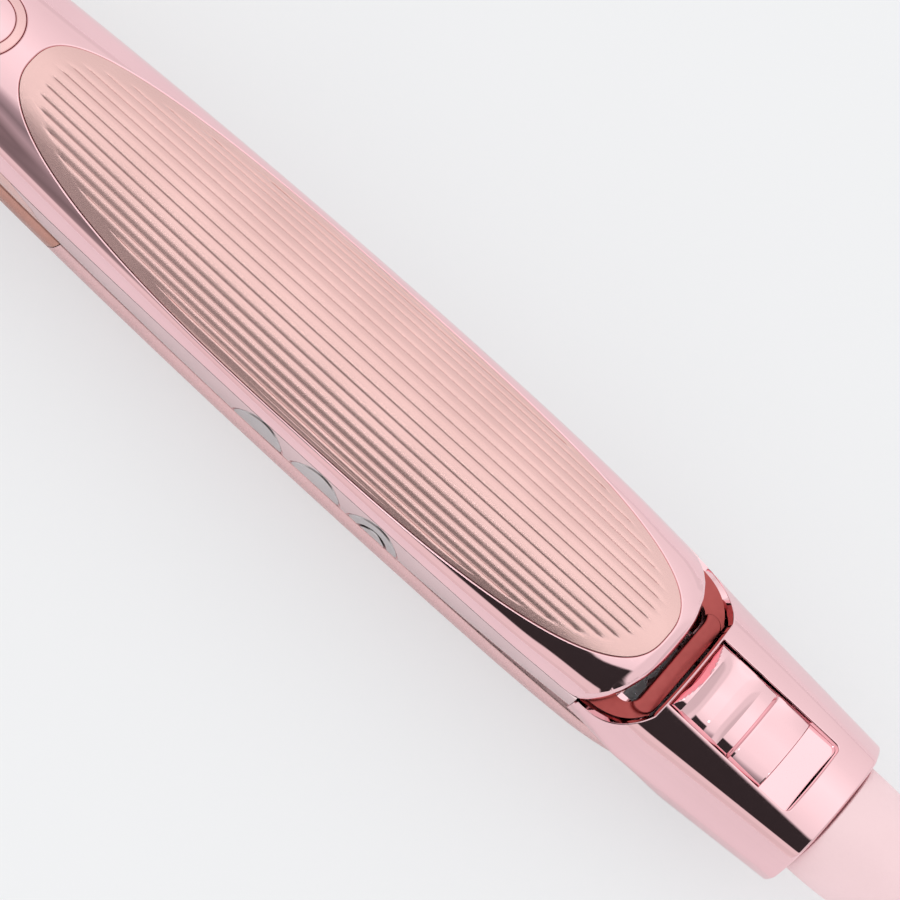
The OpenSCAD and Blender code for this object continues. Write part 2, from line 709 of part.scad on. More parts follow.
// Lower arm
module lower_outer_shell() color(pink_plate) placed() {
    difference() {
        lower_body(0, heel_end);
        lower_cover_zone(0.02);
        lower_body(wall, cavity_end);
        housing_side(0);
        box_at(pocket_x, heel_end + 5, -pocket_half, pocket_half, pocket_low, 5);
        difference() {
            inlay_prism(skin, lower_inlay_w, -30, -5);
            lower_length(inlay_t, inlay_start, inlay_end);
        }
        for (x = knuckle_screw_x) upright(x, 0, base_low - 5, base_low + 1, screw_r);
    }
    for (x = lower_screw_x) difference() {
        upright(x, 0, belly_low(x) + wall - 0.5, -deck_low, screw_boss_r);
        upright(x, 0, -screw_top, 0, screw_r);
    }
    for (x = cushion_x) upright(x, 0, belly_low(x) + wall / 2, -lower_cushion_top, cushion_r);
}
module housing_side(grow) side_prism(concat(
    [[heel_end + 10, 10], [50, 10]],
    [for (x = [51 : 1 : heel_end + 1]) [x - 0.5, house_low_z(x) - 2 * gap]],
    [[heel_end + 10, house_low]]));
module lower_grip_inlay() color(rose_satin) placed() difference() {
    intersection() {
        lower_length(0, inlay_start, inlay_end);
        inlay_prism(0, lower_inlay_w, -30, -5);
    }
    lower_length(inlay_t - skin, inlay_start, inlay_end);
}
module lower_deck() color(grey_plate) placed() difference() {
    intersection() {
        lower_length(wall + 3 * skin, inner_start, 49);
        box_at(deck_start, cavity_end - 0.1, -20, 20, -deck_low + 0.02, -gap - 0.2);
    }
    for (x = lower_screw_x) {
        upright(x, 0, -10, 1, screw_r + 0.1);
        upright(x, 0, -gap - 0.2 - screw_head_h, 1, screw_head_r + 0.1);
    }
}
module lower_front_cover() color(brown_satin) placed() difference() {
    intersection() {
        lower_body(0, cover_end);
        lower_cover_zone(0);
    }
    intersection() {
        lower_body(wall, cover_end + 5);
        box_at(tip_x - 5, cover_end + 6, -30, 30, -30, -gap - wall);
    }
    mirror([0, 0, 1]) plate_window(-1, window_top);
}
module lower_screws() color(steel) placed() screws_at(lower_screw_x, -gap - 0.3, -1);
module lower_plate() color(hot_plate) placed() mirror([0, 0, 1]) plate_shape();
module lower_heater() color(ceramic) placed() mirror([0, 0, 1]) heater_shape();
module lower_plate_holder() color(dark_resin) placed() mirror([0, 0, 1]) holder_shape();
module lower_cushions() color(silicone) placed() mirror([0, 0, 1])
    for (x = cushion_x) upright(x, 0, holder_top, lower_cushion_top, cushion_r);
module power_board() color(board_green) placed()
    box_at(power_x, power_x + power_l, -power_w, power_w, power_z, power_z + 1.6);
module power_parts() color(dark_resin) placed() {
    box_at(power_x + 6, power_x + 22, -5, 5, power_z - 5, power_z);
    translate([power_x + 36, 0, power_z - 5.5]) cylinder(r = 4, h = 5.5, $fn = round_fn);
    box_at(power_x + 48, power_x + 60, -3, 3, power_z - 3, power_z);
}

upper_outer_shell();
upper_grip_inlay();
medallion_ring();
medallion_disc();
upper_inner_shell();
upper_front_cover();
upper_screws();
upper_plate();
upper_heater();
upper_plate_holder();
upper_cushions();
button_plus();
button_minus();
button_power();
tact_switches();
control_board();
hinge_housing();
hinge_well_frame();
slot_floor();
slide_lock();
lock_spring();
hinge_pin();
hinge_spring();
swivel_retainer();
tail_sleeve();
hinge_knuckle();
lower_outer_shell();
lower_grip_inlay();
lower_deck();
lower_front_cover();
lower_screws();
lower_plate();
lower_heater();
lower_plate_holder();
lower_cushions();
power_board();
power_parts();
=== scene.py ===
"""Looks of the hair straightener: plated shells, ribbed grip inlays, side buttons, hinge housing.

Shapes are drawn in millimetres about the gap between the arms, as the part is: x runs to the tail,
z is up, and x = 0 is at the rear button. to_row() takes them to the row frame in metres.
"""

import json
import math

import bpy
import numpy as np
from mathutils import Matrix, Vector
from mathutils.bvhtree import BVHTree
from mathutils.interpolate import poly_3d_calc


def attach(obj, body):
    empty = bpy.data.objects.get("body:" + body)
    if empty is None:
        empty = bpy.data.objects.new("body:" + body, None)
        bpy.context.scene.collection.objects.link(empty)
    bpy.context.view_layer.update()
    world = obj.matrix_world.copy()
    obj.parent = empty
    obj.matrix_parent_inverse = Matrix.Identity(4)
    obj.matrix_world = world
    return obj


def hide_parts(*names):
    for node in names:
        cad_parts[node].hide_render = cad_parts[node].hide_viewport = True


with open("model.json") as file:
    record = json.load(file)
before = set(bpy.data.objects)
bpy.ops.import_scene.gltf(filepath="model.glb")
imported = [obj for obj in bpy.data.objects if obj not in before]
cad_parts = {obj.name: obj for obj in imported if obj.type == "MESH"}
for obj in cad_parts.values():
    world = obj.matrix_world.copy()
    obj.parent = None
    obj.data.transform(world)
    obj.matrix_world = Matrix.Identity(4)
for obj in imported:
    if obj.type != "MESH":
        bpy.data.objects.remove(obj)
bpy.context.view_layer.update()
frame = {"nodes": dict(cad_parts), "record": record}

MM = 0.001
ORIGIN = np.array([45.0, 0.0, 17.4])

# ---------------------------------------------------------------- sizes, in millimetres
GRIP_W, LOWER_W, FRONT_W = 34.5, 33.0, 25.2
GAP, GAP_H, SIDE_R, SIDE_Z, WALL = 0.14, 17.4, 8.1, 6.6, 1.6
TIP_X, TIP_R, TIP_IN_Y, TIP_IN_Z = -200.0, 9.0, 0.5, 0.42
INLAY_X, INLAY_FRONT, INLAY_REAR, INLAY_N = -15.6, 73.1, 60.1, (2.62, 2.75)
INLAY_W, LOWER_INLAY_W, INLAY_T = 14.55, 12.2, 0.9
MEDALLION_X, MEDALLION_R, MEDALLION_RIM = -98.6, 6.3, 1.6
BUTTON_X, BUTTON_R, BUTTON_H, BUTTON_TILT = (-24.5, -12.25, 0.0), 5.05, 4.2, 9.5
BUTTON_GAP, BUTTON_BASE = 0.3, 4.9
PLATE_X, PLATE_HALF, PLATE_W, PLATE_Z = -151.0, 43.8, 11.0, 4.4
SCREW_HEAD_R, SCREW_HEAD_H, SCREW_R, SCREW_L, SCREW_PLAY = 2.5, 0.8, 1.25, 8.0, 0.1
UPPER_SCREWS, LOWER_SCREWS = (-60, 30), (-60, 34)
HOUSE_X, HOUSE_FRONT, RIM_X, RIM_REACH, RIM_HALF, RIM_POWER = 83.4, 40.9, 40.0, 13.0, 15.8, 2.8
HOUSE_TOP, HOUSE_FALL, HOUSE_ROUND = 14.0, 0.05, 20.0
LIP_X, LIP_REACH, LIP_HALF, LIP_POWER, FALL_X = 36.0, 11.0, 16.3, 2.3, 26.0
SLOT_X, SLOT_L, SLOT_W, FLOOR_Z = 52.0, 25.2, 6.95, 9.7
BAR_X, WELL_Z, FRAME_Z = 51.6, 9.0, 7.9
PIN_X, PIN_Z = 65.0, -3.5
TAIL_START, TAIL_X, TAIL_Z, TAIL_R, TAIL_END_R, TAIL_BULGE, CORD_R = 83.95, 110.0, 2.0, 10.5, 5.0, 2.6, 3.3
ARM_END, WALL_END, LOWER_END, SEAM = 47.2, 40.8, 63.0, 0.12
KNUCKLE_HALF, TAIL_BORE, SIGN_OUT, SIGN_IN, SLIDE_L, SLIDE_PLAY = 7.6, 6.05, 3.1, 2.45, 19.0, 0.3
EAR_X, EAR_Z, EAR_H, POST_R, POST_L = 5.9, 1.6, 1.2, 1.5, 2.2
COVER_Z, WELL_FRONT, WELL_REAR, WELL_HALF = -9.0, 38.0, 48.2, 10.3
SIDES = 96
ROLL_ANGLES = np.radians([0, 20, 40, 60, 80])
NORMAL_REACH = 4e-6
LEAN = (0, -0.2924, 0.9563)


# ---------------------------------------------------------------- curves of the part
def part(t):
    return min(1.0, max(0.0, t))


def ease(t):
    u = part(t)
    return u * u * (3 - 2 * u)


def blend_to(a, b):
    return (a + b + math.sqrt((a - b) ** 2 + 0.64)) / 2


def bezier(p, q, r, n):
    t = np.linspace(0, 1, n + 1)[:, None]
    p, q, r = np.array(p), np.array(q), np.array(r)
    return (1 - t) ** 2 * p + 2 * t * (1 - t) * q + t * t * r


def tip_curve(x, x0):
    u = part((x - x0) / TIP_R)
    return math.sqrt(1 - (1 - u) ** 2)


def upper_half(x):
    return blend_to(GRIP_W / 2 - (3.3e-4 if x < 0 else 7.5e-4) * x * x, FRONT_W / 2)


def side_z(x):
    return SIDE_Z - 3.6 * ease((-100 - x) / 32)


def crease_lift(x):
    """How much higher the photograph shows the crease than the part has it."""
    return (0.6 + 0.55 * ease(x / 24) - 0.75 * ease((x - 20) / 20) + 0.6 * ease((-45 - x) / 35)
            - 1.2 * ease((-100 - x) / 32))


def crease_up(x):
    return 5.45 + 0.45 * ease(x / 46) + crease_lift(x)


def crease_y(x, up=None):
    return upper_half(x) - SIDE_R + math.sqrt(SIDE_R ** 2 - (crease_up(x) if up is None else up) ** 2)


def crown_drop(x):
    want = 4.95 - 1.45 * (x / 46) ** 2 if x > 0 else 4.95 + 0.9 * (x / 87) ** 2
    lift = crease_lift(x)
    return min(want, 0.46 * crease_y(x, crease_up(x) - lift)) - lift


def upper_fall(x):
    return 1 - 0.16 * part((-130 - x) / 70)


def seam_z(x):
    dip = 1.2 * min(1, (x / (74 if x < 0 else 40)) ** 2)
    return GAP + (side_z(x) + 3.65 - dip - GAP) * upper_fall(x)


def lower_half(x):
    taper = 2.9e-4 * x * x if x < 0 else 6.75e-6 * x ** 3
    return blend_to(LOWER_W / 2 - taper, FRONT_W / 2) - 3.5 * part((x - 42) / 21) ** 2


def lower_slim(x):
    return 1 - 0.38 * ease((-90 - x) / 40) - 0.3 * ease((x - 28) / 36)


def house_half(x):
    return 16.5 - 0.072 * (x - 50)


def house_low_z(x):
    return GAP + (-8.9 - GAP) * ease((x - 51) / 12)


def relax(points, middle, reach, rounds):
    """Rounds off a kink in a row of points."""
    p = points.copy()
    lo, hi = max(1, middle - reach), min(len(p) - 1, middle + reach + 1)
    for _ in range(rounds):
        p[lo:hi] = (p[lo - 1:hi - 1] + 2 * p[lo:hi] + p[lo + 1:hi + 1]) / 4
    return p


def end_fall(x, y):
    """How far the crown sinks towards the arm's rounded rear end."""
    u, v = max(0, x - LIP_X) / LIP_REACH, abs(y) / LIP_HALF
    inside = 1 - (u ** LIP_POWER + v ** LIP_POWER) ** (1 / LIP_POWER)
    return 1.2 * ease((x - FALL_X) / 12) * part(1 - inside / 0.36) ** 2


def upper_section(x, t=0.0, fine=24):
    """Half of the upper arm's outline at x, t inside its skin, from the crown to the flat bottom."""
    up, yc, zc, ye, drop = crease_up(x), upper_half(x) - SIDE_R, side_z(x), crease_y(x), crown_drop(x)
    ze = zc + up
    cr = (ye * ye + drop * drop) / (2 * drop)
    a = math.asin(ye / cr)
    b, c = math.asin(up / SIDE_R), math.asin((zc - GAP) / SIDE_R)
    q = np.linspace(0, a, fine + 1)
    crown = np.stack([(cr - t) * np.sin(q), ze + drop - cr + (cr - t) * np.cos(q)], 1)
    q = np.linspace(b, -c, fine + 1)
    side = np.stack([yc + (SIDE_R - t) * np.cos(q), np.maximum(GAP + t, zc + (SIDE_R - t) * np.sin(q))], 1)
    if t > 1:
        m = (a + math.pi / 2 - b) / 2
        return np.concatenate([crown[:-1], [[ye - t * math.sin(m), ze - t * math.cos(m)]], side[1:]])
    half = relax(np.concatenate([crown, side[1:]]), fine, 2, 3)
    if x > FALL_X:
        half[:, 1] -= [end_fall(x, y) * part((z - zc) / up) for y, z in half]
    return half


def upper_ring(x, t=0.0, fine=24):
    return tipped_ring(x, t, upper_section(x, t, fine), GAP, upper_fall(x))


def lower_section(x, t=0.0, fine=16):
    w = lower_half(x) - t
    ye, ze = w - 3.55 + 0.35 * t, -12.4 + 0.55 * t
    land = min(7, 0.55 * ye)
    low = -GAP_H + t
    knee = land + 0.25 * (ye - land)
    top = bezier([w - 0.95, t - GAP], [w - 0.35, -GAP - 0.6], [w - 0.1, -GAP - 1.8], 5)
    side = bezier([w - 0.1, -GAP - 1.8], [w + 0.1, -6.6], [ye, ze], fine)
    belly = bezier([ye, ze], [knee, low], [land, low], fine)
    half = np.concatenate([top[:-1], side[:-1], belly])
    if t > 0:
        return half
    return relax(half, len(top) - 1 + fine, 4, 8)


def lower_ring(x, t=0.0, fine=16):
    return tipped_ring(x, t, lower_section(x, t, fine), -GAP, lower_slim(x))


def tipped_ring(x, t, half, z0, slim):
    """Full outline of an arm at x: slimmer ahead, and drawn in on the rounded tip."""
    k = tip_curve(x, TIP_X + t)
    y = half[:, 0] * (1 - TIP_IN_Y * (1 - k))
    z = z0 + (half[:, 1] - z0) * slim * (1 - TIP_IN_Z * (1 - k))
    return ring_of(x, y, z)


def house_crown(x, y):
    """Height of the housing's crown, a little higher where it overlaps the arm's end."""
    return (HOUSE_TOP - HOUSE_FALL * (x - 50) - HOUSE_ROUND + math.sqrt(HOUSE_ROUND ** 2 - y * y)
            + 2 * (1 - ease((x - RIM_X) / RIM_REACH)))


def house_section(x, t=0.0, fine=14):
    """Half of the housing's outline at x, t inside its skin: crown, side and belly."""
    s = ease((x - RIM_X) / RIM_REACH)
    w = upper_half(min(x, 47)) + (house_half(x) - upper_half(min(x, 47))) * s - t
    zm = SIDE_Z + (2.8 - SIDE_Z) * s
    ye = w + t - 4.2 + 1.8 * (1 - s)
    yi, zi = ye - 0.75 * t, house_crown(x, ye) - 0.7 * t
    low = house_low_z(x) + t
    power = 2 / (4.5 - 1.7 * s)
    r = HOUSE_ROUND - t
    y = np.linspace(0, yi, fine + 1)
    crown = np.stack([y, zi + np.sqrt(r * r - y * y) - math.sqrt(r * r - yi * yi)], 1)
    side = bezier([yi, zi], [w, zm + 1.7], [w, zm], fine)
    q = np.linspace(0, math.pi / 2, 2 * fine + 1)
    belly = np.stack([w * np.maximum(0, np.cos(q)) ** power, zm + (low - zm) * np.sin(q) ** power], 1)
    belly[-1, 0] = 0
    half = np.concatenate([crown[:-1], side[:-1], belly])
    return half if t > 0 else relax(half, fine, 1, 2)


def house_ring(x, t=0.0, fine=14):
    half = house_section(x, t, fine)
    return ring_of(x, half[:, 0], half[:, 1])


def ring_of(x, y, z):
    """Full outline from its +Y half: apex, down the +Y side, up the -Y side."""
    first = 1 if y[0] < 1e-9 else 0
    last = len(y) if y[-1] > 1e-9 else len(y) - 1
    back = slice(last - 1, first - 1 if first > 0 else None, -1)
    yy = np.concatenate([y, -y[back]])
    zz = np.concatenate([z, z[back]])
    return np.stack([np.full(len(yy), x), yy, zz], 1)


# ---------------------------------------------------------------- node trees
def add(tree, kind, settings=(), **values):
    """A node with its settings made and its sockets set or linked by name; an underscore stands for a
    space. Gives back the node's first output."""
    node = tree.nodes.new(kind)
    for name, value in settings:
        setattr(node, name, value)
    for name, value in values.items():
        put(tree, node.inputs[name.replace("_", " ")], value)
    return node.outputs[0]


def put(tree, socket, value):
    if isinstance(value, bpy.types.NodeSocket):
        tree.links.new(value, socket)
    else:
        socket.default_value = value


def vector(tree, x, y, z):
    return add(tree, "ShaderNodeCombineXYZ", X=x, Y=y, Z=z)


def named_field(tree, name):
    return add(tree, "GeometryNodeInputNamedAttribute", [("data_type", "FLOAT")], Name=name)


class Sums:
    """Short names for the arithmetic nodes of one tree."""

    def __init__(self, tree):
        self.tree = tree

    def do(self, operation, *values):
        node = self.tree.nodes.new("ShaderNodeMath")
        node.operation = operation
        for socket, value in zip(node.inputs, values):
            put(self.tree, socket, value)
        return node.outputs[0]

    def between(self, value, a, b):
        """0 where value is a, 1 where it is b, and smooth in between."""
        return add(self.tree, "ShaderNodeMapRange", [("interpolation_type", "SMOOTHSTEP")],
                   Value=value, From_Min=a, From_Max=b)

    def ramp(self, value, stops):
        """Grey levels along a colour ramp; the dark ones lean to violet."""
        node = self.tree.nodes.new("ShaderNodeValToRGB")
        elements = node.color_ramp.elements
        while len(elements) < len(stops):
            elements.new(0.5)
        for e, (at, level) in zip(elements, stops):
            e.position = at
            e.color = (level, level * 0.97, level, 1) if level < 0.5 else (level, level, level, 1)
        put(self.tree, node.inputs["Fac"], value)
        return node.outputs["Color"]

    def mix(self, factor, a, b, how="MIX"):
        node = self.tree.nodes.new("ShaderNodeMix")
        node.data_type, node.blend_type = "RGBA", how
        for socket, value in ((0, factor), (6, a), (7, b)):
            put(self.tree, node.inputs[socket], value)
        return node.outputs[2]


def geometry_tree(name, *sizes):
    """A Geometry Nodes tree with named sizes as inputs, and what ends it: Realize Instances, then
    Set Material."""
    tree = bpy.data.node_groups.new(name, "GeometryNodeTree")
    sockets = [("Geometry", "INPUT", "Geometry")] + [(size, "INPUT", "Float") for size in sizes]
    for socket, side, kind in sockets + [("Finish", "INPUT", "Material"), ("Geometry", "OUTPUT", "Geometry")]:
        tree.interface.new_socket(socket, in_out=side, socket_type="NodeSocket" + kind)
    start, end = tree.nodes.new("NodeGroupInput"), tree.nodes.new("NodeGroupOutput")

    def out(made):
        made = add(tree, "GeometryNodeRealizeInstances", Geometry=made)
        made = add(tree, "GeometryNodeSetMaterial", Geometry=made, Material=start.outputs["Finish"])
        tree.links.new(made, end.inputs["Geometry"])
    return tree, start.outputs, out


def grown(obj, tree, sizes, finish):
    """Runs a Geometry Nodes tree on an object and leaves it the plain mesh that comes out."""
    mod = obj.modifiers.new("grow", "NODES")
    mod.node_group = tree
    for item in tree.interface.items_tree:
        if item.in_out == "INPUT" and item.name in sizes:
            mod[item.identifier] = sizes[item.name]
        elif item.name == "Finish":
            mod[item.identifier] = finish
    return cut(obj)


# ---------------------------------------------------------------- meshes
def to_row(points):
    return (np.asarray(points, float) + ORIGIN) * MM


def new_object(name, points, faces, edges=()):
    mesh = bpy.data.meshes.new(name)
    mesh.from_pydata([tuple(p) for p in to_row(points)], edges, faces)
    mesh.update()
    obj = bpy.data.objects.new(name, mesh)
    bpy.context.scene.collection.objects.link(obj)
    return obj


def loft(name, rings):
    """Closed skin through rings of equal length, capped at both ends."""
    m, n = len(rings[0]), len(rings)
    faces = [list(range(m))[::-1], [(n - 1) * m + j for j in range(m)]]
    for i in range(n - 1):
        for j in range(m):
            a, b = i * m + j, i * m + (j + 1) % m
            faces.append([a, b, b + m, a + m])
    obj = new_object(name, np.concatenate(rings), faces)
    make_outward(obj)
    return obj


def make_outward(obj):
    """Turns a closed mesh's faces outwards if its volume comes out negative."""
    mesh = obj.data
    mesh.calc_loop_triangles()
    co = np.empty(len(mesh.vertices) * 3)
    mesh.vertices.foreach_get("co", co)
    co = co.reshape(-1, 3)
    tri = np.empty(len(mesh.loop_triangles) * 3, np.int32)
    mesh.loop_triangles.foreach_get("vertices", tri)
    a, b, c = (co[tri.reshape(-1, 3)[:, k]] for k in range(3))
    if np.einsum("ij,ij->i", a, np.cross(b, c)).sum() < 0:
        mesh.flip_normals()


def steps(x0, x1, step):
    return list(np.linspace(x0, x1, max(2, int(math.ceil((x1 - x0) / step)) + 1)))


def arm_stations(t, x0, x1, step):
    """Places of the rings, close together on the rounded tip where x0 is None."""
    if x0 is not None:
        return steps(x0, x1, step)
    start = TIP_X + t
    q = np.linspace(0, math.pi / 2, 12)[:-1]
    return list(start + TIP_R * (1 - np.cos(q))) + steps(start + TIP_R, x1, step)


def upper_skin(t=0.0, x0=None, x1=ARM_END, step=1.25, fine=36):
    return loft("upper_skin", [upper_ring(x, t, fine) for x in arm_stations(t, x0, x1, step)])


def lower_skin(t=0.0, x0=None, x1=LOWER_END, step=1.25, fine=16):
    return loft("lower_skin", [lower_ring(x, t, fine) for x in arm_stations(t, x0, x1, step)])


def house_skin(t=0.0, x0=HOUSE_FRONT, x1=HOUSE_X, step=0.7, fine=14, roll=0.0):
    rings = [house_ring(x, t, fine) for x in steps(x0, x1 - roll, step)]
    for q in np.linspace(0, math.pi / 2, 6)[1:] if roll else []:
        ring = house_ring(x1 - roll, t, fine)
        inset = roll * (1 - math.cos(q))
        ring[:, 1] *= 1 - inset / house_half(x1)
        ring[:, 2] = 2.5 + (ring[:, 2] - 2.5) * (1 - inset / 10)
        ring[:, 0] = x1 - roll + roll * math.sin(q)
        rings.append(ring)
    return loft("house_skin", rings)


def lifted(plan, z):
    """An outline in x and y at a height, or with a height for each of its points."""
    return np.c_[np.asarray(plan, float), np.broadcast_to(z, len(plan))]


def prism(name, outline, z0, z1):
    """Upright prism over an outline in x and y."""
    return loft(name, [lifted(outline, z) for z in (z0, z1)])


def side_prism(name, outline):
    """Prism right across the object over an outline in x and z."""
    return loft(name, [[(x, y, z) for x, z in outline] for y in (-60, 60)])


def box_body(name, x0, x1, y0, y1, z0, z1):
    return prism(name, [(x0, y0), (x1, y0), (x1, y1), (x0, y1)], z0, z1)


def lathe(name, profile, z):
    """Ring-shaped body about the tail's axis from a closed profile of (x, radius)."""
    m = len(profile)
    points, faces = [], []
    for i in range(SIDES):
        a = 2 * math.pi * i / SIDES
        points += [(x, r * math.cos(a), z + r * math.sin(a)) for x, r in profile]
        for j in range(m):
            k, i2, j2 = i * m, (i + 1) % SIDES * m, (j + 1) % m
            faces.append([k + j, k + j2, i2 + j2, i2 + j])
    obj = new_object(name, points, faces)
    make_outward(obj)
    return obj


def outline_normals(outline):
    """Outward unit normals of a closed outline in x and y."""
    p = np.asarray(outline, float)
    d = np.roll(p, -1, 0) - np.roll(p, 1, 0)
    n = np.stack([d[:, 1], -d[:, 0]], 1)
    n /= np.linalg.norm(n, axis=1)[:, None] + 1e-12
    x, y = p[:, 0], p[:, 1]
    if (x * np.roll(y, -1) - np.roll(x, -1) * y).sum() < 0:
        n = -n
    return p, n


def bvh_of(obj):
    mesh = obj.data
    return BVHTree.FromPolygons([v.co for v in mesh.vertices], [p.vertices for p in mesh.polygons])


def height_on(tree, x, y, other=0.0, up=1):
    """Height of a skin over a point in plan, or under it where up is -1; other where there is none."""
    start = Vector(((x + ORIGIN[0]) * MM, y * MM, 0.2 * up))
    hit = tree.ray_cast(start, Vector((0, 0, -up)))[0]
    return hit.z / MM - ORIGIN[2] if hit else other


def rolled_column(name, outline, tree, roll, low, high, hole=True, other=9.0, lean=None):
    """Upright body over an outline whose side flares where it meets a skin, so that the edge that
    it cuts there is rounded by roll: the inside of a hole, or else what is kept. The foot is drawn in
    by lean."""
    p, n = outline_normals(outline)
    side = 1 if hole else -1
    rings = [lifted(p if lean is None else p - n * lean(n)[:, None], low)]
    angles = np.radians([0, 18, 36, 54, 72])
    profile = [(roll * (1 - math.cos(a)), -roll * (1 - math.sin(a))) for a in angles]
    for out, dz in profile + [(roll * 1.05, roll * 0.12)]:
        q = p + n * side * out
        rings.append(lifted(q, [height_on(tree, x, y, other) + dz for x, y in q]))
    return loft(name, rings + [lifted(q, high)])


def cut(body, *cutters):
    """Applies a body's modifiers, and cutters in order: (object, "DIFFERENCE", "INTERSECT" or "UNION").
    The cutters go."""
    for cutter, how in cutters:
        m = body.modifiers.new("cut", "BOOLEAN")
        m.solver, m.operation, m.object = "MANIFOLD", how, cutter
    bpy.context.view_layer.update()
    deps = bpy.context.evaluated_depsgraph_get()
    mesh = bpy.data.meshes.new_from_object(body.evaluated_get(deps))
    body.modifiers.clear()
    old = body.data
    body.data = mesh
    bpy.data.meshes.remove(old)
    discard(*[cutter for cutter, _ in cutters])
    return body


def discard(*objs):
    for obj in set(objs):
        mesh = obj.data
        bpy.data.objects.remove(obj)
        if mesh.users == 0:
            bpy.data.meshes.remove(mesh)


def copy_of(obj, name="copy"):
    twin = obj.copy()
    twin.data = obj.data.copy()
    twin.name = name
    bpy.context.scene.collection.objects.link(twin)
    return twin


def carry_normals(obj, skins, sharp=32.0):
    """Shades a cut body smooth up to a sharp angle, with the skins' own normals where it lies on them."""
    mesh = obj.data
    mesh.shade_smooth()
    mesh.set_sharp_from_angle(angle=math.radians(sharp))
    on_skin = {}
    for skin in skins:
        source = skin.data
        tree = bvh_of(skin)
        normals = [v.normal.copy() for v in source.vertices]
        for v in mesh.vertices:
            if v.index in on_skin:
                continue
            where, _, face, _ = tree.find_nearest(v.co, NORMAL_REACH)
            if where is None:
                continue
            ids = source.polygons[face].vertices
            if len(ids) > 6:
                continue
            weights = poly_3d_calc([source.vertices[i].co for i in ids], where)
            n = Vector()
            for i, w in zip(ids, weights):
                n += normals[i] * w
            on_skin[v.index] = n.normalized()
    custom = [Vector()] * len(mesh.loops)
    for poly in mesh.polygons:
        for li in poly.loop_indices:
            n = on_skin.get(mesh.loops[li].vertex_index)
            if n is not None and n.dot(poly.normal) > 0.9:
                custom[li] = n
    mesh.normals_split_custom_set(custom)


def superellipse(cx, a, b, n_front, n_rear, count=220):
    q = np.linspace(0, 2 * math.pi, count + 1)[:-1]
    c, s = np.cos(q), np.sin(q)
    n = np.where(c < 0, n_front, n_rear)
    return np.stack([cx + a * np.sign(c) * np.abs(c) ** (2 / n), b * np.sign(s) * np.abs(s) ** (2 / n)], 1)


def round_outline(x, r, count=SIDES):
    return superellipse(x, r, r, 2, 2, count)


def inlay_outline(play, half):
    """The grip inlay's outline, longer ahead of its widest place than behind it, larger by play."""
    front, rear = (superellipse(INLAY_X, reach + play, half + play, n, n) for reach, n in
                   zip((INLAY_FRONT, INLAY_REAR), INLAY_N))
    return np.where(front[:, :1] < INLAY_X, front, rear)


def rear_arc(cx, a, b, n, count):
    """Rear half of a superellipse, from its +Y side round to its -Y side."""
    q = np.linspace(math.pi / 2, -math.pi / 2, count)
    c, s = np.abs(np.cos(q)), np.sin(q)
    return np.stack([cx + a * c ** (2 / n), b * np.sign(s) * np.abs(s) ** (2 / n)], 1)


def lip_outline(inset):
    """Outline of the upper shell's rounded rear end, open ahead."""
    front, wide = TIP_X - 10, 60
    arc = rear_arc(LIP_X, LIP_REACH - inset, LIP_HALF - inset, LIP_POWER, 120)
    return np.concatenate([[[LIP_X, -wide], [front, -wide], [front, wide], [LIP_X, wide]], arc])


def dress(obj, name, material, body, node, skins=(), sharp=32.0):
    """Names a finished piece, gives it its finish, and puts it on its body in place of a CAD node."""
    obj.name = name
    obj.data.name = name
    obj.data.materials.clear()
    obj.data.materials.append(material)
    carry_normals(obj, skins, sharp)
    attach(obj, body)
    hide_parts(node)


# ---------------------------------------------------------------- finishes
def finish_of(name):
    mat = bpy.data.materials.new(name)
    mat.use_nodes = True
    tree = mat.node_tree
    return mat, tree, tree.nodes["Principled BSDF"]


def noise_ramp(tree, scale, low, high):
    """A noise in object space mapped to low..high; scale is per metre."""
    where = tree.nodes.new("ShaderNodeTexCoord").outputs["Object"]
    noise = add(tree, "ShaderNodeTexNoise", Vector=where, Scale=scale, Detail=3.0)
    return add(tree, "ShaderNodeMapRange", Value=noise, From_Min=0.35, From_Max=0.65, To_Min=low, To_Max=high)


def tinted(tree, amount, dark, light):
    """A colour between dark and light by amount."""
    return Sums(tree).mix(amount, (*dark, 1), (*light, 1))


def finish(name, dark, light, rough, tint_scale, rough_scale, grain_scale, grain):
    """Colour between dark and light, a range of roughness, and a fine grain; scales are per metre."""
    mat, tree, shader = finish_of(name)
    tree.links.new(tinted(tree, noise_ramp(tree, tint_scale, 0, 1), dark, light), shader.inputs["Base Color"])
    tree.links.new(noise_ramp(tree, rough_scale, *rough), shader.inputs["Roughness"])
    if grain:
        bump = add(tree, "ShaderNodeBump", Distance=grain, Height=noise_ramp(tree, grain_scale, 0, 1))
        tree.links.new(bump, shader.inputs["Normal"])
    return mat, shader


def metal_finish(name, dark, light, rough, grain, scale=900.0, metal=1.0, coat=0.0):
    """A metal plating or metal paint."""
    mat, shader = finish(name, dark, light, rough, 60, scale, scale * 4, grain)
    for socket, value in (("Metallic", metal), ("Coat Weight", coat), ("Coat Roughness", 0.04)):
        shader.inputs[socket].default_value = value
    return mat


def solid_finish(name, dark, light, rough):
    """A plastic, rubber or ceramic."""
    return finish(name, dark, light, rough, 80, 500, 1500, 0.00002)[0]


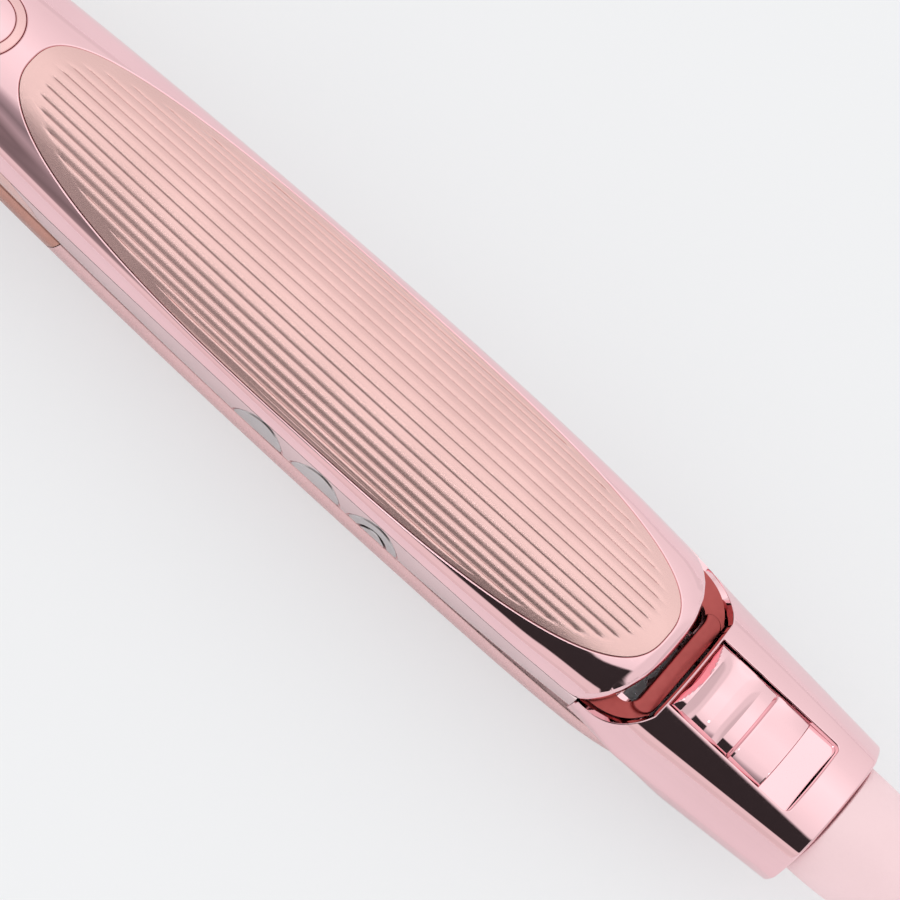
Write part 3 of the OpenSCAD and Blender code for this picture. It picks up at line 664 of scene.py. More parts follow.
PINK_PLATE = metal_finish("pink_plate", (0.92, 0.60, 0.635), (0.95, 0.625, 0.66), (0.03, 0.06), 0.0)
LOWER_PLATE = metal_finish("lower_plate", (0.81, 0.53, 0.535), (0.85, 0.555, 0.56), (0.24, 0.3), 0.0)
GREY_PLATE = metal_finish("grey_plate", (0.74, 0.56, 0.575), (0.79, 0.60, 0.615), (0.12, 0.2), 0.0)
SALMON_PLATE = metal_finish("salmon_plate", (0.87, 0.55, 0.54), (0.91, 0.58, 0.57), (0.1, 0.16), 0.0)
SILVER_PLATE = metal_finish("silver_plate", (0.56, 0.52, 0.53), (0.62, 0.58, 0.59), (0.16, 0.24), 0.0)
ROSE_SATIN = metal_finish("rose_satin", (0.80, 0.515, 0.485), (0.84, 0.545, 0.515), (0.21, 0.27), 0.000005,
                          scale=2200, metal=0.8, coat=0.25)
# Deep red satin for the hinge recess: it paints the recess's shade and the pink plating's reflections inside
# it onto the frame.
PAINTED_RECESS_SHADE = metal_finish("painted_recess_shade", (0.36, 0.075, 0.07), (0.42, 0.095, 0.09), (0.28, 0.38), 0.000003)
# The rose satin paint made darker and browner: painted shade where it sits low on the lower arm's front
# cover.
SATIN_IN_PAINTED_SHADE = metal_finish("brown_satin", (0.56, 0.29, 0.24), (0.62, 0.33, 0.275), (0.25, 0.35), 0.000003)
STEEL = metal_finish("steel", (0.50, 0.51, 0.53), (0.58, 0.59, 0.61), (0.25, 0.4), 0.000003)
HOT_PLATE = metal_finish("hot_plate", (0.68, 0.40, 0.36), (0.72, 0.44, 0.40), (0.2, 0.28), 0.0)
DARK_RESIN = solid_finish("dark_resin", (0.018, 0.015, 0.016), (0.028, 0.023, 0.025), (0.5, 0.65))
PALE_RUBBER = solid_finish("pale_rubber", (0.92, 0.665, 0.69), (0.95, 0.69, 0.715), (0.45, 0.55))
CERAMIC = solid_finish("ceramic", (0.80, 0.77, 0.70), (0.86, 0.83, 0.76), (0.6, 0.7))
BOARD_GREEN = solid_finish("board_green", (0.02, 0.12, 0.05), (0.03, 0.16, 0.07), (0.25, 0.35))
SILICONE = solid_finish("silicone", (0.62, 0.59, 0.54), (0.68, 0.65, 0.60), (0.5, 0.6))
CAD_FINISH = {
    "pink_plate": PINK_PLATE, "grey_plate": GREY_PLATE, "rose_satin": ROSE_SATIN,
    "brown_satin": SATIN_IN_PAINTED_SHADE, "silver_plate": SILVER_PLATE, "dark_resin": DARK_RESIN,
    "pale_rubber": PALE_RUBBER, "steel": STEEL, "ceramic": CERAMIC, "board_green": BOARD_GREEN,
    "silicone": SILICONE, "hot_plate": HOT_PLATE,
}


# ---------------------------------------------------------------- upper arm
def seam_outline(x1, above):
    """Side outline of what lies above or below the seam between outer shell and side wall."""
    xs = [TIP_X - 5] + steps(TIP_X, x1, 4)
    if above:
        low = [(x, seam_z(x) if x < 37 else max(seam_z(x), WELL_Z + 0.1)) for x in xs]
        return [(x1, 40), (TIP_X - 5, 40)] + low
    return [(x1, -5), (TIP_X - 5, -5)] + [(x, seam_z(x) - SEAM) for x in xs]


def upper_shell(skin, tree):
    shell = copy_of(skin, "upper_shell")
    inner_end = prism("keep", lip_outline(WALL), -5, 40)
    cavity = cut(upper_skin(WALL, step=3, fine=10), (inner_end, "INTERSECT"))
    disc = round_outline(MEDALLION_X, MEDALLION_R + 0.08)
    cut(shell,
        (side_prism("above", seam_outline(ARM_END, True)), "INTERSECT"),
        (rolled_column("lip", lip_outline(0), tree, 0.8, -5, 40, hole=False), "INTERSECT"),
        (cavity, "DIFFERENCE"),
        (rolled_column("pocket", inlay_outline(0.05, INLAY_W), tree, 0.45, 6, 40), "DIFFERENCE"),
        (rolled_column("seat", disc, tree, 0.3, 6, 40), "DIFFERENCE"))
    dress(shell, "upper_outer_plating", PINK_PLATE, "upper_arm", "upper_outer_shell", [skin])


RIB_COUNT, RIB_STEP, RIB_SPREAD = 17, 7.4, 0.891
RIB_DEPTH, RIB_GROOVE = 0.16, 0.04


def rib_fade(x, f, half):
    """1 where the ribs are whole, falling to 0 just inside the inlay's outline."""
    u = (x - INLAY_X) / ((INLAY_FRONT if x < INLAY_X else INLAY_REAR) - 3)
    n = INLAY_N[0 if u < 0 else 1]
    return ease((1 - abs(u) ** n - abs(f / (half - 0.02)) ** n) / 0.06)


def rib_tree():
    """Geometry Nodes that press the ribs' valleys into a smooth inlay. Its points know how many ribs
    across they lie, and how whole the ribs are there."""
    tree, sizes, out = geometry_tree("ribs", "Depth", "Groove")
    sums = Sums(tree)
    rib, whole = (named_field(tree, name) for name in ("rib", "whole"))
    from_valley = sums.do("ABSOLUTE", sums.do("SUBTRACT", rib, sums.do("ROUND", rib)))
    round_part = sums.do("POWER", sums.do("SUBTRACT", 1.0, sums.do("MULTIPLY", from_valley, 2.0)), 2.0)
    sharp_part = sums.do("MAXIMUM", sums.do("SUBTRACT", 1.0, sums.do("DIVIDE", from_valley, 0.08)), 0.0)
    depth = sums.do("ADD", sums.do("MULTIPLY", round_part, sizes["Depth"]),
                    sums.do("MULTIPLY", sharp_part, sizes["Groove"]))
    out(add(tree, "GeometryNodeSetPosition", Geometry=sizes["Geometry"],
            Offset=vector(tree, 0.0, 0.0, sums.do("MULTIPLY", depth, whole))))
    return tree


def ribbed_rows(x, half):
    """Places across as fractions of the arm's half width, each with its rib number and fade."""
    rows = [(-1.0, 0.0, 0.0)]
    for k in np.arange(-RIB_COUNT // 2, RIB_COUNT // 2 + 2):
        for off in (-0.5, -0.4, -0.3, -0.2, -0.14, -0.08, -0.04, 0, 0.04, 0.08, 0.14, 0.2, 0.3, 0.4):
            f = RIB_SPREAD * math.sin(math.radians(RIB_STEP * (k + off)))
            rows.append((f, k + off, rib_fade(x, f, half)))
    return np.array(rows + [(1.0, 0.0, 0.0)])


def grip_inlay(name, tree, width, half, body, node, up=1):
    """Ribbed satin inlay that follows the arm's own crown; up is -1 on the lower arm."""
    rings, rib, whole = [], [], []
    for x in steps(INLAY_X - INLAY_FRONT - 1.5, INLAY_X + INLAY_REAR + 1.5, 0.7):
        rows = ribbed_rows(x, half / (GRIP_W / 2))
        y = np.clip(rows[:, 0] * width(x), -half - 0.6, half + 0.6)
        top = np.c_[np.full(len(y), x), y, [height_on(tree, x, v, up=up) for v in y]]
        back = (top - (0, 0, up * (INLAY_T - 0.05)))[::7][::-1]
        rings.append(np.concatenate([top, back]))
        rib += list(rows[:, 1]) + [0.0] * len(back)
        whole += list(rows[:, 2]) + [0.0] * len(back)
    slab = loft(name, rings)
    for field, values in (("rib", rib), ("whole", whole)):
        slab.data.attributes.new(field, "FLOAT", "POINT").data.foreach_set("value", values)
    grown(slab, rib_tree(), {"Depth": -up * RIB_DEPTH * MM, "Groove": -up * RIB_GROOVE * MM}, ROSE_SATIN)
    for field in ("rib", "whole"):
        slab.data.attributes.remove(slab.data.attributes[field])
    skin = copy_of(slab, "inlay_skin")
    low, high = (-5, 40) if up > 0 else (-30, 30)
    cut(slab, (prism("keep", inlay_outline(0.0, half), low, high), "INTERSECT"))
    dress(slab, name, ROSE_SATIN, body, node, [skin], 24)
    discard(skin)


def medallion(skin, tree):
    for name, r, rim, node, mat, slot in (
            ("medallion_rim", MEDALLION_R, MEDALLION_RIM, "medallion_ring", SALMON_PLATE, "pink_plate"),
            ("medallion_face", MEDALLION_R - MEDALLION_RIM - 0.06, 0, "medallion_disc", PINK_PLATE,
             "rose_satin")):
        body = copy_of(skin, name)
        column = rolled_column("round", round_outline(MEDALLION_X, r), tree, 0.25, 5, 40, hole=False)
        cutters = [(column, "INTERSECT"),
                   (upper_skin(INLAY_T - 0.05, x0=-107, x1=-90, step=1.5), "DIFFERENCE")]
        if rim:
            bore = rolled_column("bore", round_outline(MEDALLION_X, r - rim), tree, 0.25, 5, 40)
            cutters.append((bore, "DIFFERENCE"))
        cut(body, *cutters)
        dress(body, name, mat, "upper_arm", node, [skin])


def button_frame(x):
    """Row-frame matrix of a button's own axes: z points out of the side."""
    turn = Matrix.Rotation(math.radians(90 + BUTTON_TILT), 4, "X")
    place = to_row((x, SIDE_R - upper_half(x), SIDE_Z))
    return Matrix.Translation(Vector(place)) @ turn


def button_body(x, rings):
    """Closed body through rings given in a button's own axes."""
    obj = loft("button_body", [np.asarray(r, float) - ORIGIN for r in rings])
    obj.data.transform(button_frame(x))
    obj.data.update()
    return obj


def button_rod(x, plan, low, high):
    return button_body(x, [lifted(plan, z) for z in (low, high)])


def button_column(x, grow, roll, hole, low, high):
    """Oval body along a button's axis with its edge rolled where it meets the round side."""
    side = 1 if hole else -1
    profile = [(roll * (1 - math.cos(a)), -roll * (1 - math.sin(a))) for a in np.radians([0, 20, 40, 60, 78])]
    rings = []
    for out, dz in [(0, 0)] + profile + [(roll * 1.05, roll * 0.15)]:
        oval = [reach + grow + side * out for reach in (BUTTON_R, BUTTON_H)]
        p = superellipse(0, *oval, 2, 2, SIDES)
        rings.append(lifted(p, np.sqrt(np.maximum(1, SIDE_R ** 2 - p[:, 1] ** 2)) + dz))
    rings[0][:, 2] = low
    return button_body(x, rings + [lifted(p, high)])


def upper_cover_zone(gap):
    """Side outline of the upper front cover, longer by gap: its end slants and rounds upwards."""
    end = [(-79, 40), (-79, 8.9), (-74, 7.6), (-70.5, 5), (-69, -10)]
    return [(x + gap, z) for x, z in end] + [(TIP_X - 10, -10), (TIP_X - 10, 40)]


def plate_window(up):
    """Cutter for the hot plate's opening in the upper cover (up is 1) or the lower one (up is -1)."""
    low, high = sorted((-up, up * PLATE_Z))
    return box_body("window", PLATE_X - PLATE_HALF, PLATE_X + PLATE_HALF, -PLATE_W, PLATE_W, low, high)


def side_wall(skin):
    wall = copy_of(skin, "side_wall")
    cutters = [(side_prism("below", seam_outline(WALL_END, False)), "INTERSECT"),
               (side_prism("cover", upper_cover_zone(SEAM)), "DIFFERENCE"),
               (upper_skin(WALL, step=3, fine=12), "DIFFERENCE")]
    cutters += [(button_column(x, BUTTON_GAP, 0.25, True, 0, 14), "DIFFERENCE") for x in BUTTON_X]
    for x in UPPER_SCREWS:
        for name, r, top in (("shank", SCREW_R, 4), ("head", SCREW_HEAD_R, 1.25)):
            cutters.append((prism(name, round_outline(x, r + SCREW_PLAY, 48), -1, top), "DIFFERENCE"))
    cut(wall, *cutters)
    dress(wall, "upper_side_wall", GREY_PLATE, "upper_arm", "upper_inner_shell", [skin])


def front_cover(skin):
    cover = copy_of(skin, "cover")
    cut(cover,
        (side_prism("below", seam_outline(-60, False)), "INTERSECT"),
        (side_prism("zone", upper_cover_zone(0.0)), "INTERSECT"),
        (upper_skin(WALL, x1=-50, step=3, fine=12), "DIFFERENCE"),
        (plate_window(1), "DIFFERENCE"))
    dress(cover, "upper_front_cover_satin", ROSE_SATIN, "upper_arm", "upper_front_cover",
          [skin])


def side_button(name, x, node, body, ring=False):
    """Oval cap with a round face, two ears that hold it in, a post, and the ring sign on one."""
    cap = button_column(x, 0.0, 0.4, False, BUTTON_BASE, 14)
    face = round_outline(0, SIDE_R - 0.02, 256)
    round_side = button_body(x, [np.c_[np.full(256, end), face] for end in (-8, 8)])
    ear = [(-EAR_X, -EAR_Z), (EAR_X, -EAR_Z), (EAR_X, EAR_Z), (-EAR_X, EAR_Z)]
    post = button_rod(x, round_outline(0, POST_R, 48), BUTTON_BASE - POST_L, BUTTON_BASE + 0.1)
    skin = copy_of(round_side, "round_skin")
    cutters = [(round_side, "INTERSECT"),
               (button_rod(x, ear, BUTTON_BASE, BUTTON_BASE + EAR_H), "UNION"), (post, "UNION")]
    if ring:
        outer, inner = (button_rod(x, round_outline(0, r), SIDE_R - 1, 12) for r in (SIGN_OUT, SIGN_IN))
        cutters.append((cut(outer, (inner, "DIFFERENCE")), "DIFFERENCE"))
    cut(cap, *cutters)
    dress(cap, name, SILVER_PLATE, body, node, [skin], 30)
    discard(skin)


# ---------------------------------------------------------------- hinge housing
def rounded_box(x0, x1, half, front, rear, count=10):
    """Outline of a rectangle whose corners are rounded by front and rear, counter-clockwise."""
    out = []
    for cx, cy, a0, r in ((x1 - rear, half - rear, 0, rear), (x0 + front, half - front, 90, front),
                          (x0 + front, front - half, 180, front), (x1 - rear, rear - half, 270, rear)):
        for a in np.radians(np.linspace(a0, a0 + 90, count)):
            out.append((cx + r * math.cos(a), cy + r * math.sin(a)))
    return out


def slot_outline():
    """The slot's outline, square at the front, with a point every 0.8 mm or so to follow the crown."""
    points = rounded_box(SLOT_X, SLOT_X + SLOT_L, SLOT_W, 0.15, 1.0, 9)
    runs = [np.linspace(p, q, max(1, int(math.dist(p, q) / 0.8)), endpoint=False)
            for p, q in zip(points, points[1:] + points[:1])]
    return np.concatenate(runs)


def rim_outline():
    """Plan of the recess in front of the slot: a superellipse nose cut off straight at the bar."""
    arc = rear_arc(RIM_X, RIM_REACH, RIM_HALF, RIM_POWER, 160) + (0, 0.4)
    arc[:, 0] = np.minimum(arc[:, 0], BAR_X)
    front, side = HOUSE_FRONT - 3, RIM_HALF + 1
    return np.concatenate([[(front, -side), (front, side), (RIM_X, side)], arc, [(RIM_X, -side)]])


def recess_inset(n):
    """How far the recess's wall leans in by its foot: little at the rear, more at the sides."""
    return 0.45 + 0.95 * np.abs(n[:, 1]) ** 1.5


def hinge_housing(skin, tree):
    house = copy_of(skin, "housing")
    slot = rolled_column("slot", slot_outline(), tree, 0.3, 8.4, 30)
    rim = rolled_column("rim", rim_outline(), tree, 0.35, FRAME_Z - 0.6, 30, other=7.5, lean=recess_inset)
    window = box_body("window", HOUSE_FRONT - 2, 70, -KNUCKLE_HALF, KNUCKLE_HALF, -20, GAP + WALL + 1)
    plan = round_outline(0, TAIL_BORE)
    bore = loft("bore", [[(x, y, TAIL_Z + z) for y, z in plan] for x in (HOUSE_X - 3, HOUSE_X + 1)])
    cut(house,
        (house_skin(WALL, x0=HOUSE_FRONT - 2, x1=HOUSE_X - WALL, step=2, fine=8), "DIFFERENCE"),
        (slot, "DIFFERENCE"), (rim, "DIFFERENCE"), (window, "DIFFERENCE"), (bore, "DIFFERENCE"))
    dress(house, "hinge_housing_plating", PINK_PLATE, "upper_arm", "hinge_housing",
          [skin], 24)


def rounded_slab(name, outline, z0, z1, roll, hole=False):
    """Upright body with a rounded upper edge, or the cutter for an opening whose edge is rounded."""
    p, n = outline_normals(outline)
    side = 1 if hole else -1
    rings = [lifted(p, z0)]
    for a in ROLL_ANGLES:
        rings.append(lifted(p + n * side * roll * (1 - math.cos(a)), z1 - roll * (1 - math.sin(a))))
    if hole:
        rings.append(lifted(p + n * roll, z1 + 3))
    return loft(name, rings)


def well_frame():
    """The satin piece in the recess: a floor, the bar ahead of the slot, and the opening for the arm."""
    p, n = outline_normals(rim_outline())
    plan = p - n * (recess_inset(n) - 0.02)[:, None]
    plan[:, 0] = np.maximum(plan[:, 0], HOUSE_FRONT + 0.4)
    frame_body = prism("frame", plan, FRAME_Z - 2.2, FRAME_Z)
    bar = rounded_slab("bar", rounded_box(47.4, BAR_X - 0.32, 10.1, 1.6, 2.2), FRAME_Z - 1, WELL_Z, 0.3)
    under = house_skin(0.4, x0=HOUSE_FRONT + 0.2, x1=60, step=0.8)
    gap = rounded_slab("gap", rounded_box(WELL_FRONT, WELL_REAR, WELL_HALF, 1.5, 2.4), FRAME_Z - 5, WELL_Z,
                       0.35, hole=True)
    cut(frame_body, (under, "INTERSECT"), (bar, "UNION"), (gap, "DIFFERENCE"))
    # The frame's deep red is painted shade and painted reflection of the recess, laid over its satin.
    dress(frame_body, "recess_frame", PAINTED_RECESS_SHADE, "upper_arm", "hinge_well_frame",
          [], 40)


def slide_relief(x, y):
    """How deep the slide's top lies under the housing's crown: a bevel at the front, a wide finger
    scoop, a ridge, a steep groove and a second scoop that rises to the rear."""
    front = SLOT_X + SLIDE_PLAY
    shoulder = 0.45 * max(0, (abs(y) - 3.4) / 3.25) ** 2
    fade = 1 - max(0, y / 6.65) ** 4
    bevel = 0.1 + 1.45 * max(0, 1 - (y / 6.6) ** 2)
    cut_in = max(0, front + bevel - x) * 1.35
    middle, reach, groove, end = 57.9, 3.9, 63.9, 71.0
    first = 1.45 * max(0, 1 - abs((x - middle) / reach) ** 2.2)
    second = 1.5 * ease(x - groove) * max(0, (end - x) / 6.6) ** 0.8 if x > groove else 0
    return 0.25 + shoulder + max(cut_in, fade * first * part((x - front - 0.6 * bevel) / 0.8), fade * second)


def graded(x0, x1, step, roll):
    """Places from x0 to x1, close together at both ends."""
    near = [roll * v for v in (0, 0.08, 0.25, 0.55, 1)]
    inner = steps(x0 + roll, x1 - roll, step)[1:-1]
    return [x0 + v for v in near] + inner + [x1 - v for v in near[::-1]]


def slide():
    x0, w, roll = SLOT_X + SLIDE_PLAY, SLOT_W - SLIDE_PLAY, 0.35
    x1 = x0 + SLIDE_L
    xs, ys = graded(x0, x1, 0.2, roll), graded(-w, w, 0.25, roll)
    top, foot = [], []
    for x in xs:
        for y in ys:
            d = min(x - x0, x1 - x, w - abs(y)) / roll
            edge = roll * (1 - math.sqrt(1 - (1 - part(d)) ** 2))
            top.append((x, y, house_crown(x, y) - slide_relief(x, y) - edge))
            foot.append((x, y, FLOOR_Z + 0.2))
    m, k = len(ys), len(xs) * len(ys)
    faces = []
    for i in range(len(xs) - 1):
        for j in range(m - 1):
            a = i * m + j
            faces += [[a, a + m, a + m + 1, a + 1], [k + a, k + a + 1, k + a + m + 1, k + a + m]]
    rim = [i * m for i in range(len(xs))] + [(len(xs) - 1) * m + j for j in range(1, m)]
    rim += [i * m + m - 1 for i in range(len(xs) - 2, -1, -1)] + [j for j in range(m - 2, 0, -1)]
    for a, b in zip(rim, rim[1:] + rim[:1]):
        faces.append([a, k + a, k + b, b])
    body = new_object("slide", top + foot, faces)
    make_outward(body)
    cut(body,
        (box_body("stem", 56, 60, -2.2, 2.2, 8.1, FLOOR_Z + 0.3), "UNION"),
        (box_body("tongue", 56, 60, -3.5, 3.5, 7.4, 8.2), "UNION"),
        (box_body("hook", 59, 60, -2.2, 2.2, 6.2, 7.5), "UNION"))
    dress(body, "slide_lock_plating", PINK_PLATE, "slide", "slide_lock", [], 24)


def tail():
    """Pale rubber sleeve: neck with its groove, round shoulder, bulging side, cord's bore."""
    rows = [(79.6, CORD_R), (79.6, 6), (80, 6), (80, 5), (81.6, 5), (81.6, 6), (83.7, 6), (83.7, 10.2),
            (83.8, 10.42)]
    for t in np.linspace(0, 1, 40):
        rows.append((TAIL_START + (TAIL_X - 1 - TAIL_START) * t,
                     TAIL_END_R + (TAIL_R - TAIL_END_R) * (1 - t ** TAIL_BULGE)))
    for a in np.radians(np.linspace(10, 90, 6)):
        rows.append((TAIL_X - 1 + math.sin(a), TAIL_END_R - 1 + math.cos(a)))
    rows.append((TAIL_X, CORD_R))
    body = lathe("tail", rows, TAIL_Z)
    dress(body, "tail_sleeve_rubber", PALE_RUBBER, "tail", "tail_sleeve", [], 30)


# ---------------------------------------------------------------- screws and hinge spring
def screw_tree():
    """Geometry Nodes that set a screw on each point: a flat head with a cross slot, and its shank."""
    tree, sizes, out = geometry_tree("screws", "Head radius", "Head height", "Shank radius", "Length",
                                     "Slot length", "Slot width", "Slot depth", "Turn")
    sums = Sums(tree)
    half_head, slot_high = (sums.do("MULTIPLY", sizes[name], k) for name, k in
                            (("Head height", 0.5), ("Slot depth", 2.0)))

    def rod(radius, low, high):
        body = add(tree, "GeometryNodeMeshCylinder", Vertices=48, Radius=radius,
                   Depth=sums.do("SUBTRACT", high, low))
        middle = sums.do("MULTIPLY", sums.do("ADD", high, low), 0.5)
        return add(tree, "GeometryNodeTransform", Geometry=body, Translation=vector(tree, 0.0, 0.0, middle))

    def combined(how, first, *others):
        node = tree.nodes.new("GeometryNodeMeshBoolean")
        node.operation = how
        if first:
            tree.links.new(first, node.inputs["Mesh 1"])
        for other in others:
            tree.links.new(other, node.inputs["Mesh 2"])
        return node.outputs["Mesh"]
    blank = combined("UNION", None, rod(sizes["Head radius"], 0.0, sizes["Head height"]),
                     rod(sizes["Shank radius"], half_head, sizes["Length"]))
    cross = [add(tree, "GeometryNodeMeshCube", Size=vector(tree, sizes[a], sizes[b], slot_high))
             for a, b in (("Slot length", "Slot width"), ("Slot width", "Slot length"))]
    turn = add(tree, "FunctionNodeEulerToRotation", Euler=vector(tree, sizes["Turn"], 0.0, 0.0))
    out(add(tree, "GeometryNodeInstanceOnPoints", Points=sizes["Geometry"], Rotation=turn,
            Instance=combined("DIFFERENCE", blank, *cross)))
    return tree


def screws():
    tree = screw_tree()
    sizes = {"Head radius": SCREW_HEAD_R, "Head height": SCREW_HEAD_H, "Shank radius": SCREW_R,
             "Length": SCREW_L, "Slot length": 3, "Slot width": 0.6, "Slot depth": 0.5}
    sizes = {name: size * MM for name, size in sizes.items()}
    for name, places, z, turn, body, node in (
            ("arm_screws_upper", UPPER_SCREWS, 0.43, 0.0, "upper_arm", "upper_screws"),
            ("arm_screws_lower", LOWER_SCREWS, -0.63, math.pi, "lower_arm", "lower_screws")):
        obj = new_object(name, [(x, 0, z) for x in places], [])
        grown(obj, tree, {**sizes, "Turn": turn}, STEEL)
        dress(obj, name, STEEL, body, node, [], 30)


def wire_tree():
    """Geometry Nodes that draw a round wire along a path of edges."""
    tree, sizes, out = geometry_tree("wire", "Wire radius")
    path = add(tree, "GeometryNodeMeshToCurve", Mesh=sizes["Geometry"])
    ring = add(tree, "GeometryNodeCurvePrimitiveCircle", Resolution=16, Radius=sizes["Wire radius"])
    out(add(tree, "GeometryNodeCurveToMesh", Curve=path, Profile_Curve=ring, Fill_Caps=True))
    return tree


def hinge_coil():
    """Torsion spring round the hinge pin, one leg under each arm's root."""
    turns, r, wire, reach, bend = 4.25, 2.8, 0.5, 2.6, 1
    path = [(x, -reach, PIN_Z + r) for x in np.linspace(PIN_X - 7, PIN_X, 8)[:-1]]
    for t in np.linspace(0, 1, int(turns * 40) + 1):
        a = math.pi / 2 - 2 * math.pi * turns * t
        path.append((PIN_X + r * math.cos(a), reach * (2 * t - 1), PIN_Z + r * math.sin(a)))
    path += [(PIN_X + r + bend - bend * math.cos(a), reach, PIN_Z + bend - r - bend * math.sin(a))
             for a in np.linspace(0, math.pi / 2, 8)]
    path.append((PIN_X + 8, reach, PIN_Z - r))
    obj = new_object("coil", path, [], [(i, i + 1) for i in range(len(path) - 1)])
    grown(obj, wire_tree(), {"Wire radius": wire * MM}, STEEL)
    make_outward(obj)
    dress(obj, "hinge_coil_spring", STEEL, "upper_arm", "hinge_spring", [], 40)


# ---------------------------------------------------------------- lower arm
def cover_split(x):
    return -GAP + (COVER_Z + GAP) * lower_slim(x)


def lower_zone(grow):
    xs = list(np.linspace(TIP_X - 10, -73, 24))
    end = [(-71.5 + grow, COVER_Z - grow), (-69.6 + grow, -4), (-67.7 + grow, 0.5), (-66 + grow, 10)]
    return end + [(TIP_X - 10, 10)] + [(x, cover_split(x) - grow) for x in xs]


def lower_pieces(skin):
    shell = copy_of(skin, "lower_shell")
    side = [(73, 10), (50, 10)]
    side += [(x - 0.5, house_low_z(x) - 2 * GAP) for x in np.arange(51, 64.5, 0.5)] + [(73, -8.9)]
    pocket = box_body("pocket", 46.5, 70, -KNUCKLE_HALF, KNUCKLE_HALF, -10.8, 5)
    seat = cut(prism("seat", inlay_outline(0.1, LOWER_INLAY_W), -30, -5),
               (lower_skin(INLAY_T, x0=-90, x1=46, step=3), "DIFFERENCE"))
    cut(shell,
        (side_prism("zone", lower_zone(0.15)), "DIFFERENCE"),
        (lower_skin(WALL, x1=46, step=3, fine=8), "DIFFERENCE"),
        (side_prism("housing", side), "DIFFERENCE"), (pocket, "DIFFERENCE"), (seat, "DIFFERENCE"))
    dress(shell, "lower_outer_plating", LOWER_PLATE, "lower_arm", "lower_outer_shell",
          [skin])
    cover = copy_of(skin, "lower_cover")
    below = box_body("low", TIP_X - 5, -50, -30, 30, -30, -GAP - WALL)
    hollow = cut(lower_skin(WALL, x1=-50, step=3, fine=8), (below, "INTERSECT"))
    cut(cover, (side_prism("zone", lower_zone(0)), "INTERSECT"), (hollow, "DIFFERENCE"),
        (plate_window(-1), "DIFFERENCE"))
    # The lower front cover's satin is darkened as painted shade.
    dress(cover, "lower_front_cover_satin", SATIN_IN_PAINTED_SHADE, "lower_arm", "lower_front_cover",
          [skin])


# ---------------------------------------------------------------- assembly
def build():
    skin = upper_skin()
    tree = bvh_of(skin)
    upper_shell(skin, tree)
    grip_inlay("upper_inlay", tree, upper_half, INLAY_W, "upper_arm", "upper_grip_inlay")
    medallion(skin, tree)
    side_wall(skin)
    front_cover(skin)
    for name, x, node, body in (("button_front", BUTTON_X[0], "button_plus", "plus"),
                                ("button_middle", BUTTON_X[1], "button_minus", "minus"),
                                ("button_rear", BUTTON_X[2], "button_power", "power")):
        side_button(name, x, node, body, ring=node == "button_power")
    discard(skin)
    skin = house_skin(roll=0.6, fine=24)
    tree = bvh_of(skin)
    hinge_housing(skin, tree)
    well_frame()
    slide()
    discard(skin)
    tail()
    screws()
    hinge_coil()
    skin = lower_skin()
    lower_pieces(skin)
    grip_inlay("lower_inlay", bvh_of(skin), lower_half, LOWER_INLAY_W, "lower_arm",
               "lower_grip_inlay", up=-1)
    discard(skin)


def finish_cad_nodes():
    """Gives every CAD node that stays its own finish."""
    slots = {s["node"]: s["material_slot"] for s in frame["record"]["subparts"]}
    for node, obj in frame["nodes"].items():
        mat = CAD_FINISH[slots[node]]
        obj.data.materials.clear()
        obj.data.materials.append(mat)


def degrees_across(*stops):
    """Ramp stops from angles between straight up and the button side; -90 is level on the far side."""
    return [((angle + 100) / 220, level) for angle, level in stops]


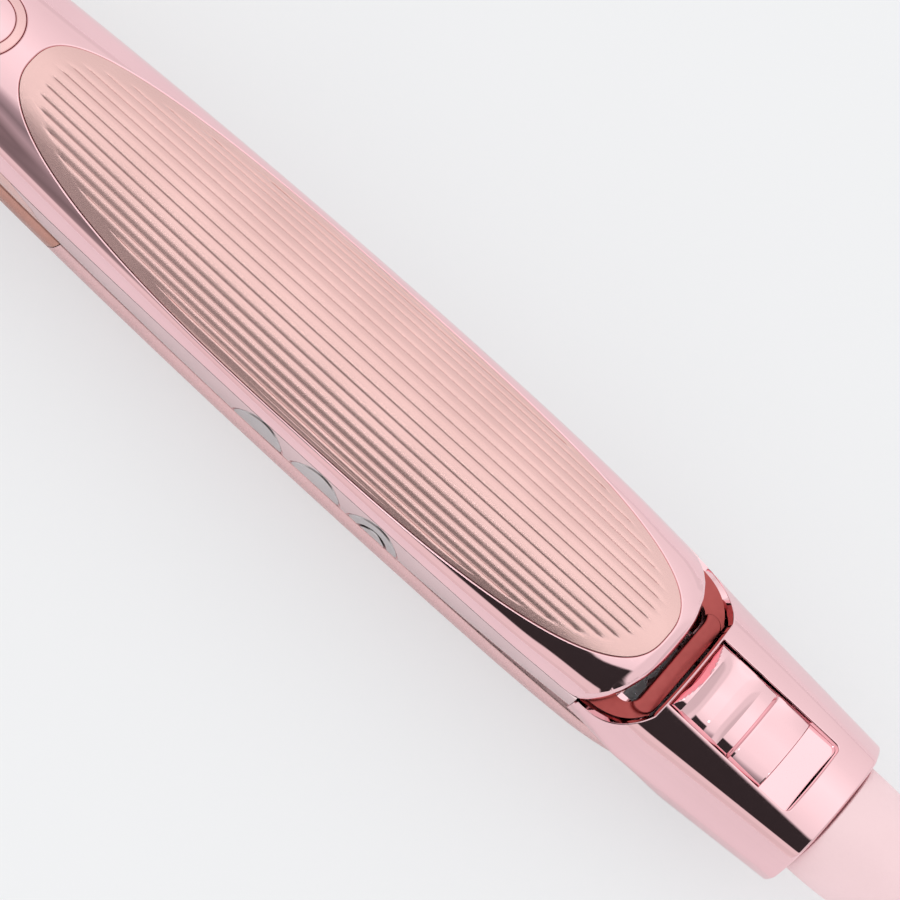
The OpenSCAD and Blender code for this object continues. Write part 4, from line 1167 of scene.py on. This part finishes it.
def surroundings():
    """Pale table and even studio light. Mirror plating sees a soft box overhead, a dark flag on the
    button side, broken up ahead, grey ends, and a small lamp near the camera."""
    world = bpy.data.worlds.new("studio")
    bpy.context.scene.world = world
    world.use_nodes = True
    tree = world.node_tree
    back = tree.nodes["Background"]
    sums = Sums(tree)
    split = tree.nodes.new("ShaderNodeSeparateXYZ")
    tree.links.new(tree.nodes.new("ShaderNodeTexCoord").outputs["Generated"], split.inputs["Vector"])
    x, y, z = (split.outputs[k] for k in "XYZ")
    angle = sums.do("MULTIPLY", sums.do("ARCTAN2", sums.do("MULTIPLY", y, -1), z), 180 / math.pi)
    place = sums.do("DIVIDE", sums.do("ADD", angle, 100), 220)
    far_side = ((-98, 0.9), (-75, 0.9), (-45, 1.0))
    rear = sums.ramp(place, degrees_across(
        *far_side, (-18, 1.22), (5, 1.12), (26.5, 0.96), (28.5, 0.033), (66, 0.033), (69, 0.86), (118, 0.86)))
    front = sums.ramp(place, degrees_across(
        *far_side, (-18, 1.15), (5, 1.08), (30, 0.95), (38, 0.45), (46, 0.25), (54, 0.45), (64, 0.2),
        (72, 0.3), (76, 0.86)))
    seen = sums.mix(sums.between(x, -0.14, -0.05), front, rear)
    warm = sums.mix(1.0, seen, (1.0, 0.95, 0.93, 1), "MULTIPLY")
    seen = sums.mix(sums.between(angle, 40, 75), seen, warm)
    aside = sums.do("ABSOLUTE", x)
    seen = sums.mix(sums.between(aside, 0.58, 0.68), seen, (0.88, 0.88, 0.88, 1))
    seen = sums.mix(sums.between(aside, 0.78, 0.86), seen, (0.7, 0.7, 0.7, 1))
    level = sums.do("MULTIPLY", sums.between(z, -0.02, 0.02), sums.between(z, 0.14, 0.08))
    seen = sums.mix(sums.do("MULTIPLY", level, 0.12), seen, (0.12, 0.10, 0.11, 1))
    toward = sums.do("ADD", sums.do("MULTIPLY", y, LEAN[1]), sums.do("MULTIPLY", z, LEAN[2]))
    seen = sums.mix(sums.between(toward, 0.9985, 0.9992), seen, (3.5, 3.5, 3.5, 1))
    glossy = tree.nodes.new("ShaderNodeLightPath").outputs["Is Glossy Ray"]
    tree.links.new(sums.mix(glossy, (1.0, 1.0, 1.0, 1), seen), back.inputs["Color"])
    back.inputs["Strength"].default_value = 1.0

    floor_mesh = bpy.data.meshes.new("table")
    far = 3.0
    corners = [(-far, -far, 0), (far, -far, 0), (far, far, 0), (-far, far, 0)]
    floor_mesh.from_pydata(corners, [], [(0, 1, 2, 3)])
    floor = bpy.data.objects.new("table", floor_mesh)
    bpy.context.scene.collection.objects.link(floor)
    mat, tree, shader = finish_of("table_white")
    tree.links.new(tinted(tree, noise_ramp(tree, 6, 0, 1), (0.87, 0.875, 0.885), (0.90, 0.905, 0.915)),
                   shader.inputs["Base Color"])
    shader.inputs["Roughness"].default_value = 0.6
    shader.inputs["Specular IOR Level"].default_value = 0.2
    glow = add(tree, "ShaderNodeEmission", Color=(0.885, 0.895, 0.91, 1))
    camera_ray = tree.nodes.new("ShaderNodeLightPath").outputs["Is Camera Ray"]
    seen_part = Sums(tree).do("MULTIPLY", camera_ray, 0.55)
    blend = tree.nodes.new("ShaderNodeMixShader")
    for socket, value in zip(blend.inputs, (seen_part, shader.outputs["BSDF"], glow)):
        tree.links.new(value, socket)
    tree.links.new(blend.outputs["Shader"], tree.nodes["Material Output"].inputs["Surface"])
    floor_mesh.materials.append(mat)


# The photograph's view: its turn in degrees, what it looks at in millimetres, from how many metres
# away, and half its width over its focal length.
VIEW_TURN, VIEW_TARGET, VIEW_AWAY, VIEW_WIDE = 42.12, (45.0, 3.68, 17.4), 0.55, 450 / 3426


def camera():
    """The photograph's view: from above, leaning to the button side, object running down to the right."""
    toward = Vector(LEAN).normalized()
    along, up = Vector((1, 0, 0)), toward.cross(Vector((1, 0, 0)))
    a = math.radians(VIEW_TURN)
    right = math.cos(a) * along + math.sin(a) * up
    top = -math.sin(a) * along + math.cos(a) * up
    m = Matrix((right, top, toward)).transposed().to_4x4()
    m.translation = Vector(VIEW_TARGET) * MM + toward * VIEW_AWAY
    data = bpy.data.cameras.new("camera")
    data.sensor_fit = "HORIZONTAL"
    data.angle = 2 * math.atan(VIEW_WIDE)
    data.clip_start, data.clip_end = 0.01, 20
    obj = bpy.data.objects.new("camera", data)
    obj.matrix_world = m
    bpy.context.scene.collection.objects.link(obj)
    bpy.context.scene.camera = obj


finish_cad_nodes()
build()
surroundings()
camera()
bpy.context.scene.view_settings.view_transform = "Standard"
bpy.context.view_layer.update()
